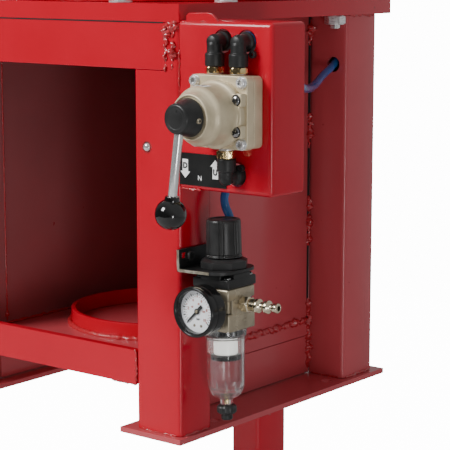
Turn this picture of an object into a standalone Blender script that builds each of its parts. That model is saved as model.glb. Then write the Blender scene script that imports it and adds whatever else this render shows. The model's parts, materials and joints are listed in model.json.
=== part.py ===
"""Pneumatic oil filter crusher: a steel chamber on a stand, pressed from above by a large air cylinder.

Metres, +Z up. Local frame of the machine: x from its middle plane, y back from the front faces of the
posts, z up from the top of the base strips. The empty "machine" puts that frame over the floor.
"""

import math

import bmesh
import bpy
from mathutils import Matrix, Vector

MM = 0.001
GAP = 0.3

# Driving dimensions, in millimetres
BODY_WIDTH = 312.0
BODY_DEPTH = 297.0
BODY_HEIGHT = 349.5
MIDDLE_Y = 157.0
STAND_HEIGHT = 525.0
TOP_THICK = 15.0
TOP_DEPTH = 318.0
STRIP_THICK = 5.0
STRIP_OUT = 4.0
STRIP_WIDTH = 68.0
STRIP_BOLTS = (60.0, 232.0)

FRONT_POST = (50.0, 42.0)
REAR_POST = (43.0, 50.0)
REAR_POST_INSET = 3.0
POST_WALL = 4.0
POST_RADIUS = 4.0
PANEL = 6.0
FLOOR_BOTTOM = 38.0
FLOOR_THICK = 15.0
LOWER_RAIL_TOP = 68.5
RAIL_THICK = 8.0
UPPER_RAIL_BOTTOM = 310.0
UPPER_RAIL_THICK = 3.0
UPPER_RAIL_HALF = 140.5
BACK_PANEL_Y = 279.0
RING_RADIUS = 88.0
RING_WALL = 4.0
RING_HEIGHT = 15.0

LEG_TUBE = (31.0, 42.0)
LEG_WALL = 3.0
LEG_X = 143.5
LEG_Y = {"right": 125.3, "left": 27.0}
FOOT_X = 135.0
FOOT_LENGTH = 480.0
FOOT_WIDTH = 50.0
FOOT_HEIGHT = 40.0
BRACE_TUBE = 30.0

BARREL_RADIUS = 145.0
BARREL_WALL = 8.0
BARREL_HEIGHT = 265.0
COVER_THICK = 15.0
TIE_ROD_RADIUS = 5.0
TIE_WIDE = 145.0
TIE_NARROW = 81.5
NUT_FLATS = 17.0
NUT_HEIGHT = 8.4
ROD_RADIUS = 25.0
GLAND_RADIUS = 37.0
PISTON_THICK = 30.0
PLATEN_RADIUS = 95.0
PLATEN_THICK = 25.0
PLATEN_BOTTOM = 318.0

BOX_LEFT = BODY_WIDTH / 2 + GAP
BOX_RIGHT = 251.0
BOX_DEPTH = 43.0
BOX_BOTTOM = 213.7
BOX_TOP = 351.5
BOX_SHEET = 2.0
BOX_RADIUS = 4.0

VALVE_X = 213.5
VALVE_Z = 281.5
VALVE_SIDE = 58.0
VALVE_DEPTH = 20.8
SCREW_X = 23.5
SCREW_Z = 24.0
LEVER_Y = -67.0
LEVER_Z = 279.9
LEVER_REST = math.radians(7.8)
LEVER_LENGTH = 75.7
LEVER_ROD_RADIUS = 3.6
BALL_RADIUS = 12.5
FITTING_Y = -10.4
ELBOW_RADIUS = 7.7
ARM_RADIUS = 8.0
ELBOW_TOP_Z = 336.0
ELBOW_LOW_Z = 229.5
TOP_FITTINGS = {"down": VALVE_X - 12.0, "up": VALVE_X + 12.0}
TUBE_RADIUS = 4.0
TUBE_UP = (132.0, 281.0)

REG_X = 184.0
REG_Y = 23.0
REG_SIDE = 36.0
REG_LEAN = math.radians(1.35)
BRACKET_REACH = 21.0
NECK_RADIUS = 14.0
REG_BOTTOM = 96.2
REG_TOP = 132.2
BONNET_TOP = 144.8
GAUGE_Y = -19.5
GAUGE_RECESS = 7.0
GAUGE_Z = 116.0
GAUGE_RADIUS = 21.2
NEEDLE_REST = math.radians(47)
BOWL_RADIUS = 15.9
BOWL_WALL = 2.0
PLUG_Z = 118.5
CATCH_X = BODY_WIDTH / 2 - 35.7
CATCH_Z = 245.4
CATCH_RADIUS = 3.9
TUBE_HOLE = (BODY_WIDTH / 2 - 18.5, 303.0)
PORT_HEIGHT = 22.0

RED = (0.62, 0.035, 0.045)
STEEL = (0.72, 0.72, 0.72)
NICKEL = (0.62, 0.58, 0.50)
BLACK = (0.02, 0.02, 0.02)
BRASS = (0.80, 0.62, 0.28)
BLUE = (0.04, 0.09, 0.32)
WHITE = (0.85, 0.85, 0.85)
CLEAR = (0.85, 0.88, 0.88)

FRONT = (math.radians(90), 0, 0)
BACK = (math.radians(-90), 0, 0)
RIGHT = (0, math.radians(90), 0)
UP = (0, 0, 0)
FLATS_TO_Y = (0, 0, math.radians(30))


# Scene and helpers

def clear_scene():
    for obj in list(bpy.data.objects):
        bpy.data.objects.remove(obj, do_unlink=True)


def new_collection(name):
    made = bpy.data.collections.new(name)
    bpy.context.scene.collection.children.link(made)
    return made


clear_scene()
PARTS = new_collection("oil_filter_crusher")
CUTTERS = new_collection("cutters")
MACHINE = bpy.data.objects.new("machine", None)
PARTS.objects.link(MACHINE)
MACHINE.location = (
    -(BOX_RIGHT - BODY_WIDTH / 2 - STRIP_OUT) / 2 * MM,
    -MIDDLE_Y * MM,
    STAND_HEIGHT * MM,
)


def material(name, colour, metallic=0.0, roughness=0.4):
    made = bpy.data.materials.new(name)
    made.use_nodes = True
    shader = made.node_tree.nodes["Principled BSDF"]
    shader.inputs["Base Color"].default_value = (*colour, 1.0)
    shader.inputs["Metallic"].default_value = metallic
    shader.inputs["Roughness"].default_value = roughness
    return made


def add(name, mesh, look, parent=MACHINE, helper=False):
    obj = bpy.data.objects.new(name, mesh)
    (CUTTERS if helper else PARTS).objects.link(obj)
    obj.parent = parent
    if helper:
        obj.hide_render = True
        obj.display_type = "WIRE"
        return obj
    colour, metallic, roughness = look
    obj.data.materials.append(material(name, colour, metallic, roughness))
    return obj


PAINT = (RED, 0.0, 0.25)
ZINC = (STEEL, 1.0, 0.3)
CAST = (NICKEL, 1.0, 0.4)
PLASTIC = (BLACK, 0.0, 0.4)
YELLOW_METAL = (BRASS, 1.0, 0.3)
HOSE = (BLUE, 0.0, 0.25)


def mesh_of(name, build):
    """A mesh that the function build fills through bmesh, smooth on its round stretches."""
    mesh = bpy.data.meshes.new(name)
    shape = bmesh.new()
    build(shape)
    bmesh.ops.recalc_face_normals(shape, faces=shape.faces)
    shape.to_mesh(mesh)
    shape.free()
    mesh.shade_smooth()
    mesh.set_sharp_from_angle(angle=math.radians(35))
    return mesh


def box(name, x, y, z, look=PAINT, helper=False, bevel=None, parent=MACHINE):
    """A block between x, y and z pairs. bevel is (radius, segments, test), for the edges the test keeps."""
    low = Vector([min(side) for side in (x, y, z)])
    size = Vector([max(side) for side in (x, y, z)]) - low

    def build(shape):
        bmesh.ops.create_cube(shape, size=1.0)
        for vert in shape.verts:
            place = [low[i] + (vert.co[i] + 0.5) * size[i] for i in range(3)]
            vert.co = Vector(place) * MM
        if bevel:
            radius, segments, test = bevel
            edges = [edge for edge in shape.edges if test(edge)]
            bmesh.ops.bevel(
                shape, geom=edges, offset=radius * MM, segments=segments,
                profile=0.5, affect="EDGES",
            )

    return add(name, mesh_of(name, build), look, parent, helper)


def upright(edge):
    """True for an edge that runs along z."""
    a, b = (vert.co for vert in edge.verts)
    return abs(a.z - b.z) > 1e-4 and abs(a.x - b.x) < 1e-6 and abs(a.y - b.y) < 1e-6


def lengthwise(edge):
    """True for an edge that runs along y."""
    a, b = (vert.co for vert in edge.verts)
    return abs(a.y - b.y) > 1e-4 and abs(a.x - b.x) < 1e-6 and abs(a.z - b.z) < 1e-6


def prism(name, centre, radius, height, turn=UP, sides=32, look=PAINT, helper=False, parent=MACHINE):
    """A round or polygonal rod from centre along the turned +Z."""
    def build(shape):
        bmesh.ops.create_cone(
            shape, cap_ends=True, segments=sides,
            radius1=radius * MM, radius2=radius * MM, depth=height * MM,
        )
        bmesh.ops.translate(shape, verts=shape.verts, vec=(0, 0, height / 2 * MM))

    obj = add(name, mesh_of(name, build), look, parent, helper)
    obj.location = Vector(centre) * MM
    obj.rotation_euler = turn
    return obj


def turned(name, centre, profile, turn=UP, steps=32, look=PAINT, helper=False, parent=MACHINE):
    """A turned piece. The profile's (radius, height) points run down its outer side, top to bottom."""
    mesh = bpy.data.meshes.new(name)
    points = [(radius * MM, 0, height * MM) for radius, height in profile]
    edges = [(i, i + 1) for i in range(len(points) - 1)]
    if profile[0] == profile[-1]:
        points.pop()
        edges[-1] = (len(points) - 1, 0)
    mesh.from_pydata(points, edges, [])
    obj = add(name, mesh, look, parent, helper)
    obj.location = Vector(centre) * MM
    obj.rotation_euler = turn
    screw = obj.modifiers.new("turn", "SCREW")
    screw.steps = screw.render_steps = steps
    screw.use_merge_vertices = True
    screw.merge_threshold = 0.00005
    screw.use_smooth_shade = True
    return obj


def cut(obj, cutter):
    step = obj.modifiers.new("cut " + cutter.name, "BOOLEAN")
    step.operation = "DIFFERENCE"
    step.object = cutter


def join(obj, other):
    step = obj.modifiers.new("join " + other.name, "BOOLEAN")
    step.operation = "UNION"
    step.object = other


def drill(obj, name, centre, radius, depth, turn=UP, sides=24):
    cut(obj, prism(name, centre, radius, depth, turn, sides, helper=True))


def arc(radius, centre, start, end, count):
    """Profile points on an arc, angles in degrees from +r towards +height."""
    points = []
    for i in range(count + 1):
        angle = math.radians(start + (end - start) * i / count)
        points.append((centre[0] + radius * math.cos(angle), centre[1] + radius * math.sin(angle)))
    return points


def tube(name, route, radius, look=HOSE, count=40):
    """A round flexible tube through the route's points, as a smooth curve sampled to a poly spline."""
    curve = bpy.data.curves.new(name, "CURVE")
    curve.dimensions = "3D"
    curve.bevel_depth = radius * MM
    curve.bevel_resolution = 2
    curve.use_fill_caps = True
    points = smooth_points(route, count)
    spline = curve.splines.new("POLY")
    spline.points.add(len(points) - 1)
    for target, place in zip(spline.points, points):
        target.co = (*(place * MM), 1.0)
    return add(name, curve, look)


def smooth_points(route, count):
    """Points at even steps on a Catmull-Rom curve through the route."""
    knots = [Vector(point) for point in route]
    knots = [2 * knots[0] - knots[1]] + knots + [2 * knots[-1] - knots[-2]]
    dense = []
    for i in range(1, len(knots) - 2):
        before, start, end, after = knots[i - 1 : i + 3]
        for j in range(24):
            t = j / 24
            dense.append(
                0.5 * (
                    2 * start + (end - before) * t
                    + (2 * before - 5 * start + 4 * end - after) * t * t
                    + (3 * start - before - 3 * end + after) * t ** 3
                )
            )
    dense.append(knots[-2])
    lengths = [0.0]
    for a, b in zip(dense, dense[1:]):
        lengths.append(lengths[-1] + (b - a).length)
    found = []
    index = 0
    for k in range(count + 1):
        wanted = lengths[-1] * k / count
        while index < len(lengths) - 2 and lengths[index + 1] < wanted:
            index += 1
        share = (wanted - lengths[index]) / (lengths[index + 1] - lengths[index])
        found.append(dense[index].lerp(dense[index + 1], share))
    return found


# Body of the crusher

SIDES = {"right": 1, "left": -1}
HALF = BODY_WIDTH / 2
FLOOR_TOP = FLOOR_BOTTOM + FLOOR_THICK
PANEL_OUT = HALF - FRONT_POST[0] + PANEL


def shrunk(pair, wall):
    return min(pair) + wall, max(pair) - wall


def hollow_post(name, x, y, z):
    post = box(name, x, y, z, bevel=(POST_RADIUS, 3, upright))
    bore_z = (z[0] - 5, z[1] + 5)
    cut(post, box(name + "_bore", shrunk(x, POST_WALL), shrunk(y, POST_WALL), bore_z, helper=True))
    return post


def front_posts():
    for side, sign in SIDES.items():
        x = (sign * (HALF - FRONT_POST[0]), sign * HALF)
        post = hollow_post(f"front_post_{side}", x, (0, FRONT_POST[1]), (GAP, BODY_HEIGHT - GAP))
        notch_x = (sign * (HALF - FRONT_POST[0] - 1), sign * (UPPER_RAIL_HALF + GAP))
        notch_z = (UPPER_RAIL_BOTTOM - GAP, BODY_HEIGHT + 1)
        notch_y = (-1, UPPER_RAIL_THICK + GAP)
        cut(post, box(f"rail_notch_{side}", notch_x, notch_y, notch_z, helper=True))
        if sign > 0:
            drill(post, "catch_hole", (CATCH_X, -2, CATCH_Z), CATCH_RADIUS + 0.7, POST_WALL + 4, BACK)




def ball_catch():
    """Spring-loaded stop with a domed tip, in the hole on the right post's front."""
    depth = 16.0
    ball = arc(5.0, (0, -2.4), 60, 39, 3)
    profile = [(0, 2.6), *ball, (CATCH_RADIUS, 0.4), (CATCH_RADIUS, -depth), (0, -depth)]
    turned("ball_catch", (CATCH_X, 0, CATCH_Z), profile, FRONT, 24, ZINC)


def rear_posts():
    outer = HALF - REAR_POST_INSET
    for side, sign in SIDES.items():
        x = (sign * (outer - REAR_POST[0]), sign * outer)
        y = (BODY_DEPTH - REAR_POST[1], BODY_DEPTH)
        post = hollow_post(f"rear_post_{side}", x, y, (GAP, BODY_HEIGHT - GAP))
        if sign > 0:
            drill(post, "tube_hole", (TUBE_HOLE[0], y[0] - 2, TUBE_HOLE[1]), 7.0, POST_WALL + 4, BACK)




def panels():
    y = (FRONT_POST[1] + GAP, BODY_DEPTH - REAR_POST[1] - GAP)
    for side, sign in SIDES.items():
        x = (sign * (PANEL_OUT - PANEL), sign * PANEL_OUT)
        box(f"side_panel_{side}", x, y, (FLOOR_TOP + GAP, BODY_HEIGHT - GAP))
        box(f"apron_{side}", x, y, (0.8, FLOOR_BOTTOM - GAP))
    half = HALF - REAR_POST_INSET - REAR_POST[0] - GAP
    back_y = (BACK_PANEL_Y, BACK_PANEL_Y + PANEL)
    box("back_panel", (-half, half), back_y, (FLOOR_TOP + GAP, BODY_HEIGHT - GAP))


def rails():
    half = HALF - FRONT_POST[0] - GAP
    box("lower_front_rail", (-half, half), (0, RAIL_THICK), (FLOOR_BOTTOM, LOWER_RAIL_TOP))
    box(
        "upper_front_rail", (-UPPER_RAIL_HALF, UPPER_RAIL_HALF), (0, UPPER_RAIL_THICK),
        (UPPER_RAIL_BOTTOM, BODY_HEIGHT - GAP),
    )


def floor():
    depth = (RAIL_THICK + GAP, BODY_DEPTH)
    plate = box("floor_plate", (-PANEL_OUT, PANEL_OUT), depth, (FLOOR_BOTTOM, FLOOR_TOP))
    notches = {
        "front": (HALF - FRONT_POST[0] - GAP, (0, FRONT_POST[1] + GAP)),
        "rear": (
            HALF - REAR_POST_INSET - REAR_POST[0] - GAP, (BODY_DEPTH - REAR_POST[1] - GAP, BODY_DEPTH + 10),
        ),
    }
    for side, sign in SIDES.items():
        for end, (inner, y) in notches.items():
            x = (sign * inner, sign * (PANEL_OUT + 10))
            cut(plate, box(f"floor_notch_{end}_{side}", x, y, (0, 100), helper=True))
    drill(plate, "oil_drain", (0, MIDDLE_Y, FLOOR_BOTTOM - 5), 12.0, FLOOR_THICK + 10)
    low = FLOOR_TOP + GAP
    inner = RING_RADIUS - RING_WALL
    top = low + RING_HEIGHT
    profile = [(inner, top), (RING_RADIUS, top), (RING_RADIUS, low), (inner, low), (inner, top)]
    turned("collar_ring", (0, MIDDLE_Y, 0), profile, UP, 48)


def top():
    z = (BODY_HEIGHT, BODY_HEIGHT + TOP_THICK)
    plate = box("top_plate", (-HALF, HALF), (0, TOP_DEPTH), z, bevel=(2.0, 2, upright))
    drill(plate, "gland_bore", (0, MIDDLE_Y, z[0] - 5), GLAND_RADIUS - 6 + GAP, TOP_THICK + 10, sides=40)
    drill(plate, "tube_bore", (TUBE_UP[0], TUBE_UP[1], z[0] - 5), 7.0, TOP_THICK + 10)
    for index, (x, y) in enumerate(tie_places(), 1):
        drill(plate, f"tie_bore_{index}", (x, y, z[0] - 5), TIE_ROD_RADIUS + GAP, TOP_THICK + 10, sides=12)


def strips():
    inner = HALF + STRIP_OUT - STRIP_WIDTH
    for side, sign in SIDES.items():
        x = (sign * inner, sign * (HALF + STRIP_OUT))
        strip = box(f"base_strip_{side}", x, (-6, BODY_DEPTH + 11), (-STRIP_THICK, 0))
        for index, y in enumerate(STRIP_BOLTS):
            spot = (sign * (HALF - 12), y, -STRIP_THICK - 2)
            drill(strip, f"strip_hole_{side}_{index}", spot, 5.0, STRIP_THICK + 4, sides=16)


# Stand

def stand():
    """Each leg stands on a foot bar with closed ends. Its tube runs into the bar and is open at the top."""
    low = -STAND_HEIGHT
    foot_top = low + FOOT_HEIGHT
    for side, sign in SIDES.items():
        x = (sign * LEG_X - LEG_TUBE[0] / 2, sign * LEG_X + LEG_TUBE[0] / 2)
        y = (LEG_Y[side] - LEG_TUBE[1] / 2, LEG_Y[side] + LEG_TUBE[1] / 2)
        leg = box(f"leg_{side}", x, y, (foot_top - 3, -STRIP_THICK - GAP), bevel=(4.0, 3, upright))
        foot_x = (sign * FOOT_X - FOOT_WIDTH / 2, sign * FOOT_X + FOOT_WIDTH / 2)
        foot_y = (MIDDLE_Y - FOOT_LENGTH / 2, MIDDLE_Y + FOOT_LENGTH / 2)
        foot = box(f"foot_{side}", foot_x, foot_y, (low, foot_top), helper=True, bevel=(4.0, 3, lengthwise))
        join(leg, foot)
        foot_bore = [shrunk(pair, LEG_WALL) for pair in (foot_x, foot_y, (low, foot_top))]
        cut(leg, box(f"foot_bore_{side}", *foot_bore, helper=True))
        bore_z = (low + FOOT_HEIGHT / 2, 0)
        cut(leg, box(f"leg_bore_{side}", shrunk(x, LEG_WALL), shrunk(y, LEG_WALL), bore_z, helper=True))
    half = FOOT_X - FOOT_WIDTH / 2 - GAP
    y = (MIDDLE_Y - BRACE_TUBE / 2, MIDDLE_Y + BRACE_TUBE / 2)
    z = (low + 5, low + 5 + BRACE_TUBE)
    brace = box("cross_tube", (-half, half), y, z)
    long = (-half - 5, half + 5)
    cut(brace, box("cross_bore", long, shrunk(y, LEG_WALL), shrunk(z, LEG_WALL), helper=True))


# Air cylinder

BARREL_BOTTOM = BODY_HEIGHT + TOP_THICK + GAP
BARREL_TOP = BARREL_BOTTOM + BARREL_HEIGHT
COVER_TOP = BARREL_TOP + GAP + COVER_THICK


def tie_places():
    """The eight tie rods: two to a side of the plate, mirrored front to back."""
    places = []
    for x in (-1, 1):
        for y in (-1, 1):
            places.append((x * TIE_WIDE, MIDDLE_Y + y * TIE_NARROW))
            places.append((x * TIE_NARROW, MIDDLE_Y + y * TIE_WIDE))
    return places


def cylinder_barrel():
    inner = BARREL_RADIUS - BARREL_WALL
    profile = [
        (inner, BARREL_TOP), (BARREL_RADIUS, BARREL_TOP), (BARREL_RADIUS, BARREL_BOTTOM),
        (inner, BARREL_BOTTOM), (inner, BARREL_TOP),
    ]
    turned("cylinder_barrel", (0, MIDDLE_Y, 0), profile, UP, 64)


def cylinder_cover():
    z = (BARREL_TOP + GAP, COVER_TOP)
    reach = TIE_WIDE + 11
    y = (MIDDLE_Y - reach, MIDDLE_Y + reach)
    cover = box("cylinder_cover", (-reach, reach), y, z, bevel=(20.0, 4, upright))
    for index, (x, y) in enumerate(tie_places(), 1):
        spot = (x, y, z[0] - 5)
        drill(cover, f"cover_bore_{index}", spot, TIE_ROD_RADIUS + GAP, COVER_THICK + 10, sides=12)
    port = (TUBE_UP[0], TUBE_UP[1], z[0] - PORT_HEIGHT)
    join(cover, prism("air_port", port, 8.0, PORT_HEIGHT + 1, UP, 24, helper=True))




def tie_rods():
    top_end = COVER_TOP + NUT_HEIGHT + 6
    for index, (x, y) in enumerate(tie_places(), 1):
        at_front = y < MIDDLE_Y - TIE_NARROW - 1
        low = BODY_HEIGHT + GAP if at_front else BODY_HEIGHT - NUT_HEIGHT - 4
        rod = prism(f"tie_rod_{index}", (x, y, low), TIE_ROD_RADIUS, top_end - low, UP, 12, ZINC)
        levels = [COVER_TOP + GAP]
        if not at_front:
            levels.append(BODY_HEIGHT - GAP - NUT_HEIGHT)
        for level in levels:
            radius = NUT_FLATS / 2 / math.cos(math.radians(30))
            name = f"nut_{index}_{level:.0f}"
            nut = prism(name, (x, y, level), radius, NUT_HEIGHT, FLATS_TO_Y, 6, helper=True)
            join(rod, nut)


def rod_gland():
    """Guide bush in the top plate, with a flange that lies on the plate inside the barrel."""
    bore = ROD_RADIUS + GAP
    neck = GLAND_RADIUS - 6
    low, high = BODY_HEIGHT + 1, BODY_HEIGHT + TOP_THICK + GAP
    profile = [
        (bore, high + 8), (GLAND_RADIUS, high + 8), (GLAND_RADIUS, high), (neck, high),
        (neck, low), (bore, low), (bore, high + 8),
    ]
    turned("rod_gland", (0, MIDDLE_Y, 0), profile, UP, 40, YELLOW_METAL)


def ram():
    """Piston, rod and platen, at the top of their stroke."""
    piston_top = BARREL_TOP - 3
    piston_bottom = piston_top - PISTON_THICK
    radius = BARREL_RADIUS - BARREL_WALL - GAP * 2
    groove = [
        (0, piston_top), (radius - 2, piston_top), (radius, piston_top - 2), (radius, piston_bottom + 2),
        (radius - 2, piston_bottom), (0, piston_bottom),
    ]
    turned("piston", (0, MIDDLE_Y, 0), groove, UP, 48, CAST)
    platen_top = PLATEN_BOTTOM + PLATEN_THICK
    prism(
        "piston_rod", (0, MIDDLE_Y, platen_top + GAP), ROD_RADIUS,
        piston_bottom - platen_top - 2 * GAP, UP, 40, ZINC,
    )
    platen = [
        (0, platen_top), (PLATEN_RADIUS, platen_top), (PLATEN_RADIUS, PLATEN_BOTTOM + 2),
        (PLATEN_RADIUS - 2, PLATEN_BOTTOM), (0, PLATEN_BOTTOM),
    ]
    turned("platen", (0, MIDDLE_Y, 0), platen, UP, 48)


# Air control: box, valve, fittings and tubes

def control_box():
    """Folded sheet cover, open to the back and towards the post."""
    def fold(edge):
        a, b = (vert.co / MM for vert in edge.verts)
        outer = a.x > BOX_RIGHT - 1 and b.x > BOX_RIGHT - 1
        front = a.y < 1 and b.y < 1
        return (outer or front) and not (a.x < BOX_LEFT + 1 and b.x < BOX_LEFT + 1)

    y, z = (0, BOX_DEPTH), (BOX_BOTTOM, BOX_TOP)

    def rounded(edge):
        a, b = (vert.co / MM for vert in edge.verts)
        at_back = a.y > BOX_DEPTH - 1 and b.y > BOX_DEPTH - 1
        return fold(edge) and not (at_back and upright(edge))

    cover = box("control_box", (BOX_LEFT, BOX_RIGHT), y, z, bevel=(BOX_RADIUS, 4, rounded))
    hollow = box(
        "box_hollow", (BOX_LEFT - 5, BOX_RIGHT - BOX_SHEET), (BOX_SHEET, BOX_DEPTH + 5),
        (BOX_BOTTOM + BOX_SHEET, BOX_TOP - BOX_SHEET), helper=True, bevel=(2.2, 3, rounded_hollow),
    )
    cut(cover, hollow)
    for name, x in TOP_FITTINGS.items():
        drill(cover, f"box_hole_{name}", (x, -2, ELBOW_TOP_Z), ARM_RADIUS + 1.5, BOX_SHEET + 6, BACK)
    drill(cover, "box_hole_supply", (VALVE_X + 2, -2, ELBOW_LOW_Z), ARM_RADIUS + 1.5, BOX_SHEET + 6, BACK)


def rounded_hollow(edge):
    a, b = (vert.co / MM for vert in edge.verts)
    outer = a.x > BOX_RIGHT - BOX_SHEET - 1 and b.x > BOX_RIGHT - BOX_SHEET - 1
    front = a.y < BOX_SHEET + 1 and b.y < BOX_SHEET + 1
    return upright(edge) and outer and front


def valve():
    half = VALVE_SIDE / 2
    x, z = (VALVE_X - half, VALVE_X + half), (VALVE_Z - half, VALVE_Z + half)
    body = box("valve_body", x, (-VALVE_DEPTH, -GAP), z, CAST, bevel=(3.0, 3, lengthwise))
    for dx in (-1, 1):
        for dz in (-1, 1):
            place = (VALVE_X + dx * SCREW_X, -VALVE_DEPTH + 1, VALVE_Z + dz * SCREW_Z)
            join(body, prism(f"valve_screw_{dx}_{dz}", place, 4.2, 4.4, FRONT, 20, helper=True))
    front = VALVE_DEPTH + GAP
    housing = turned(
        "valve_housing", (VALVE_X, 0, LEVER_Z),
        [
            (0, 56.0), (17.0, 56.0), (18.2, 57.0), (19.4, 51.0), (22.6, 47.4), (23.6, 45.0), (23.6, 30.0),
            (26.6, 26.6), (27.4, 25.2), (27.4, front), (0, front),
        ],
        FRONT, 36, CAST,
    )
    lug = box(
        "housing_lug", (VALVE_X + 15.0, VALVE_X + 28.0), (-27.5, -front), (LEVER_Z - 17.5, LEVER_Z + 17.5),
        helper=True, bevel=(1.5, 2, lengthwise),
    )
    join(housing, lug)


def lever():
    """Hub, rod and ball, turning together on the valve's axis."""
    pivot = bpy.data.objects.new("lever_pivot", None)
    PARTS.objects.link(pivot)
    pivot.parent = MACHINE
    pivot.location = Vector((VALVE_X, 0, LEVER_Z)) * MM
    pivot.rotation_euler = (0, LEVER_REST, 0)
    hub_front, hub_back = 73.5, 57.3
    profile = [
        (0, hub_front), (10.4, hub_front), *arc(1.6, (10.4, hub_front - 1.6), 90, 10, 3),
        (15.3, hub_back + 1.0), (15.3, hub_back), (0, hub_back),
    ]
    hub = turned("lever_hub", (0, 0, 0), profile, FRONT, 40, PLASTIC, parent=pivot)
    down = (0, math.radians(180), 0)
    collar = prism("hub_boss", (0, LEVER_Y, -6), 5.2, 8.5, down, 20, helper=True, parent=pivot)
    join(hub, collar)
    start = 14.5 + GAP
    prism(
        "lever_rod", (0, LEVER_Y, -start), LEVER_ROD_RADIUS, LEVER_LENGTH - BALL_RADIUS - start - GAP,
        down, 20, ZINC, parent=pivot,
    )
    ball = [(0, BALL_RADIUS), *arc(BALL_RADIUS, (0, 0), 75, -75, 10), (0, -BALL_RADIUS)]
    turned("lever_ball", (0, LEVER_Y, -LEVER_LENGTH), ball, UP, 24, PLASTIC, parent=pivot)


def elbow(name, x, hex_face, hex_height, corner, lean=0.0):
    """Brass hex nipple on the valve and a black push-in elbow that turns back into the box."""
    away = 1 if corner > hex_face else -1
    turn = UP if away > 0 else (math.radians(180), 0, 0)
    face = hex_face + away * GAP
    prism(f"nipple_{name}", (x, FITTING_Y, face), 8.1, hex_height, turn, 6, YELLOW_METAL)
    start = face + away * (hex_height + GAP)
    reach = abs(corner - start)
    dome = max(reach - 2.4, 11.0)
    profile = [
        (0, dome + 6.2), *arc(6.2, (0, dome), 80, 0, 5), (6.2, 10.8), (ELBOW_RADIUS, 10.4),
        (ELBOW_RADIUS, 0), (0, 0),
    ]
    body = turned(f"elbow_{name}", (x, FITTING_Y, start), profile, turn, 20, PLASTIC)
    back = (math.radians(-90), 0, lean)
    arm = [(0, 17.0), (ARM_RADIUS, 17.0), (ARM_RADIUS, 8.0), (5.6, 7.0), (5.6, 0), (0, 0)]
    arm_body = turned(f"elbow_arm_{name}", (x, FITTING_Y, corner), arm, back, 20, helper=True)
    join(body, arm_body)


def fittings():
    top_face = VALVE_Z + VALVE_SIDE / 2
    for name, x in TOP_FITTINGS.items():
        elbow(name, x, top_face, 5.5, ELBOW_TOP_Z)
    elbow("supply", VALVE_X, VALVE_Z - VALVE_SIDE / 2, 8.0, ELBOW_LOW_Z, math.radians(-12))


def position_label():
    box(
        "position_label", (HALF + 0.8, HALF + 49.5), (-1.0, -GAP), (217.5, 244.0), PLASTIC,
    )


def tubes():
    """Both run behind the control box. One goes up inside the rear post to the cylinder's cover."""
    inside = FITTING_Y + 17.0 + GAP
    up_x = TOP_FITTINGS["up"]
    hole_x, hole_z = TUBE_HOLE
    post_face = BODY_DEPTH - REAR_POST[1]
    port_end = BARREL_TOP + GAP - PORT_HEIGHT - 1
    tube(
        "cylinder_tube",
        [
            (up_x, inside, ELBOW_TOP_Z), (up_x, 22, ELBOW_TOP_Z), (up_x - 3, 50, 325), (up_x - 24, 92, 303),
            (HALF + 26, 138, 289), (HALF + 3, 186, 287.5), (HALF - 12, 222, 295), (hole_x, post_face + 2, hole_z),
            (HALF - 23, 268, 318), (TUBE_UP[0], TUBE_UP[1], 352), (TUBE_UP[0], TUBE_UP[1], 390),
            (TUBE_UP[0], TUBE_UP[1], 500), (TUBE_UP[0], TUBE_UP[1], port_end),
        ],
        TUBE_RADIUS, count=50,
    )
    lean = math.radians(12)
    reach = 18.0
    start = (VALVE_X + reach * math.sin(lean), FITTING_Y + reach * math.cos(lean), ELBOW_LOW_Z)
    tube(
        "supply_tube",
        [
            start, (VALVE_X + 5, 16, 229), (VALVE_X - 6, 36, 230), (HALF + 34, 52, 230), (HALF + 17, 53, 222),
            (HALF + 12, 48, 210), (HALF + 13, 42, 199), (HALF + 18, 44, 186), (HALF + 19, 50, 166),
            (HALF + 17, 57, 148),
            (HALF + 20, 63, 131), (REG_X - 1.0, 61.5, 121), (REG_X + 1.2, 56, 118.5),
            (REG_X + 1.3, REG_Y + REG_SIDE / 2 + 9.6, PLUG_Z),
        ],
        TUBE_RADIUS, count=28,
    )


# Filter-regulator

def regulator_bracket():
    """L bracket: an upright leg on the post's right face and a level leg around the regulator's neck."""
    thick = 2.5
    x0 = HALF + GAP
    y = (REG_Y - 28, REG_Y + 24)
    level = (BONNET_TOP + GAP, BONNET_TOP + GAP + thick)
    bracket = box("regulator_bracket", (x0, x0 + thick), y, (level[0], 163.5), (BLACK, 0.6, 0.35))
    leg = box("bracket_leg", (x0, REG_X + BRACKET_REACH), y, level, helper=True, bevel=(16.0, 5, far_corner))
    join(bracket, leg)
    drill(bracket, "bracket_bore", (REG_X, REG_Y, level[0] - 5), NECK_RADIUS + GAP, thick + 10, sides=32)
    drill(bracket, "bracket_hole", (x0 - 5, REG_Y + 13, 157), 3.0, thick + 10, RIGHT, 16)
    head = prism("bracket_screw", (x0 + thick - 1, REG_Y - 16, 157), 4.2, 4.5, RIGHT, 20, helper=True)
    join(bracket, head)


def far_corner(edge):
    return upright(edge) and all(vert.co.x > (REG_X + BRACKET_REACH - 1) * MM for vert in edge.verts)


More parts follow.
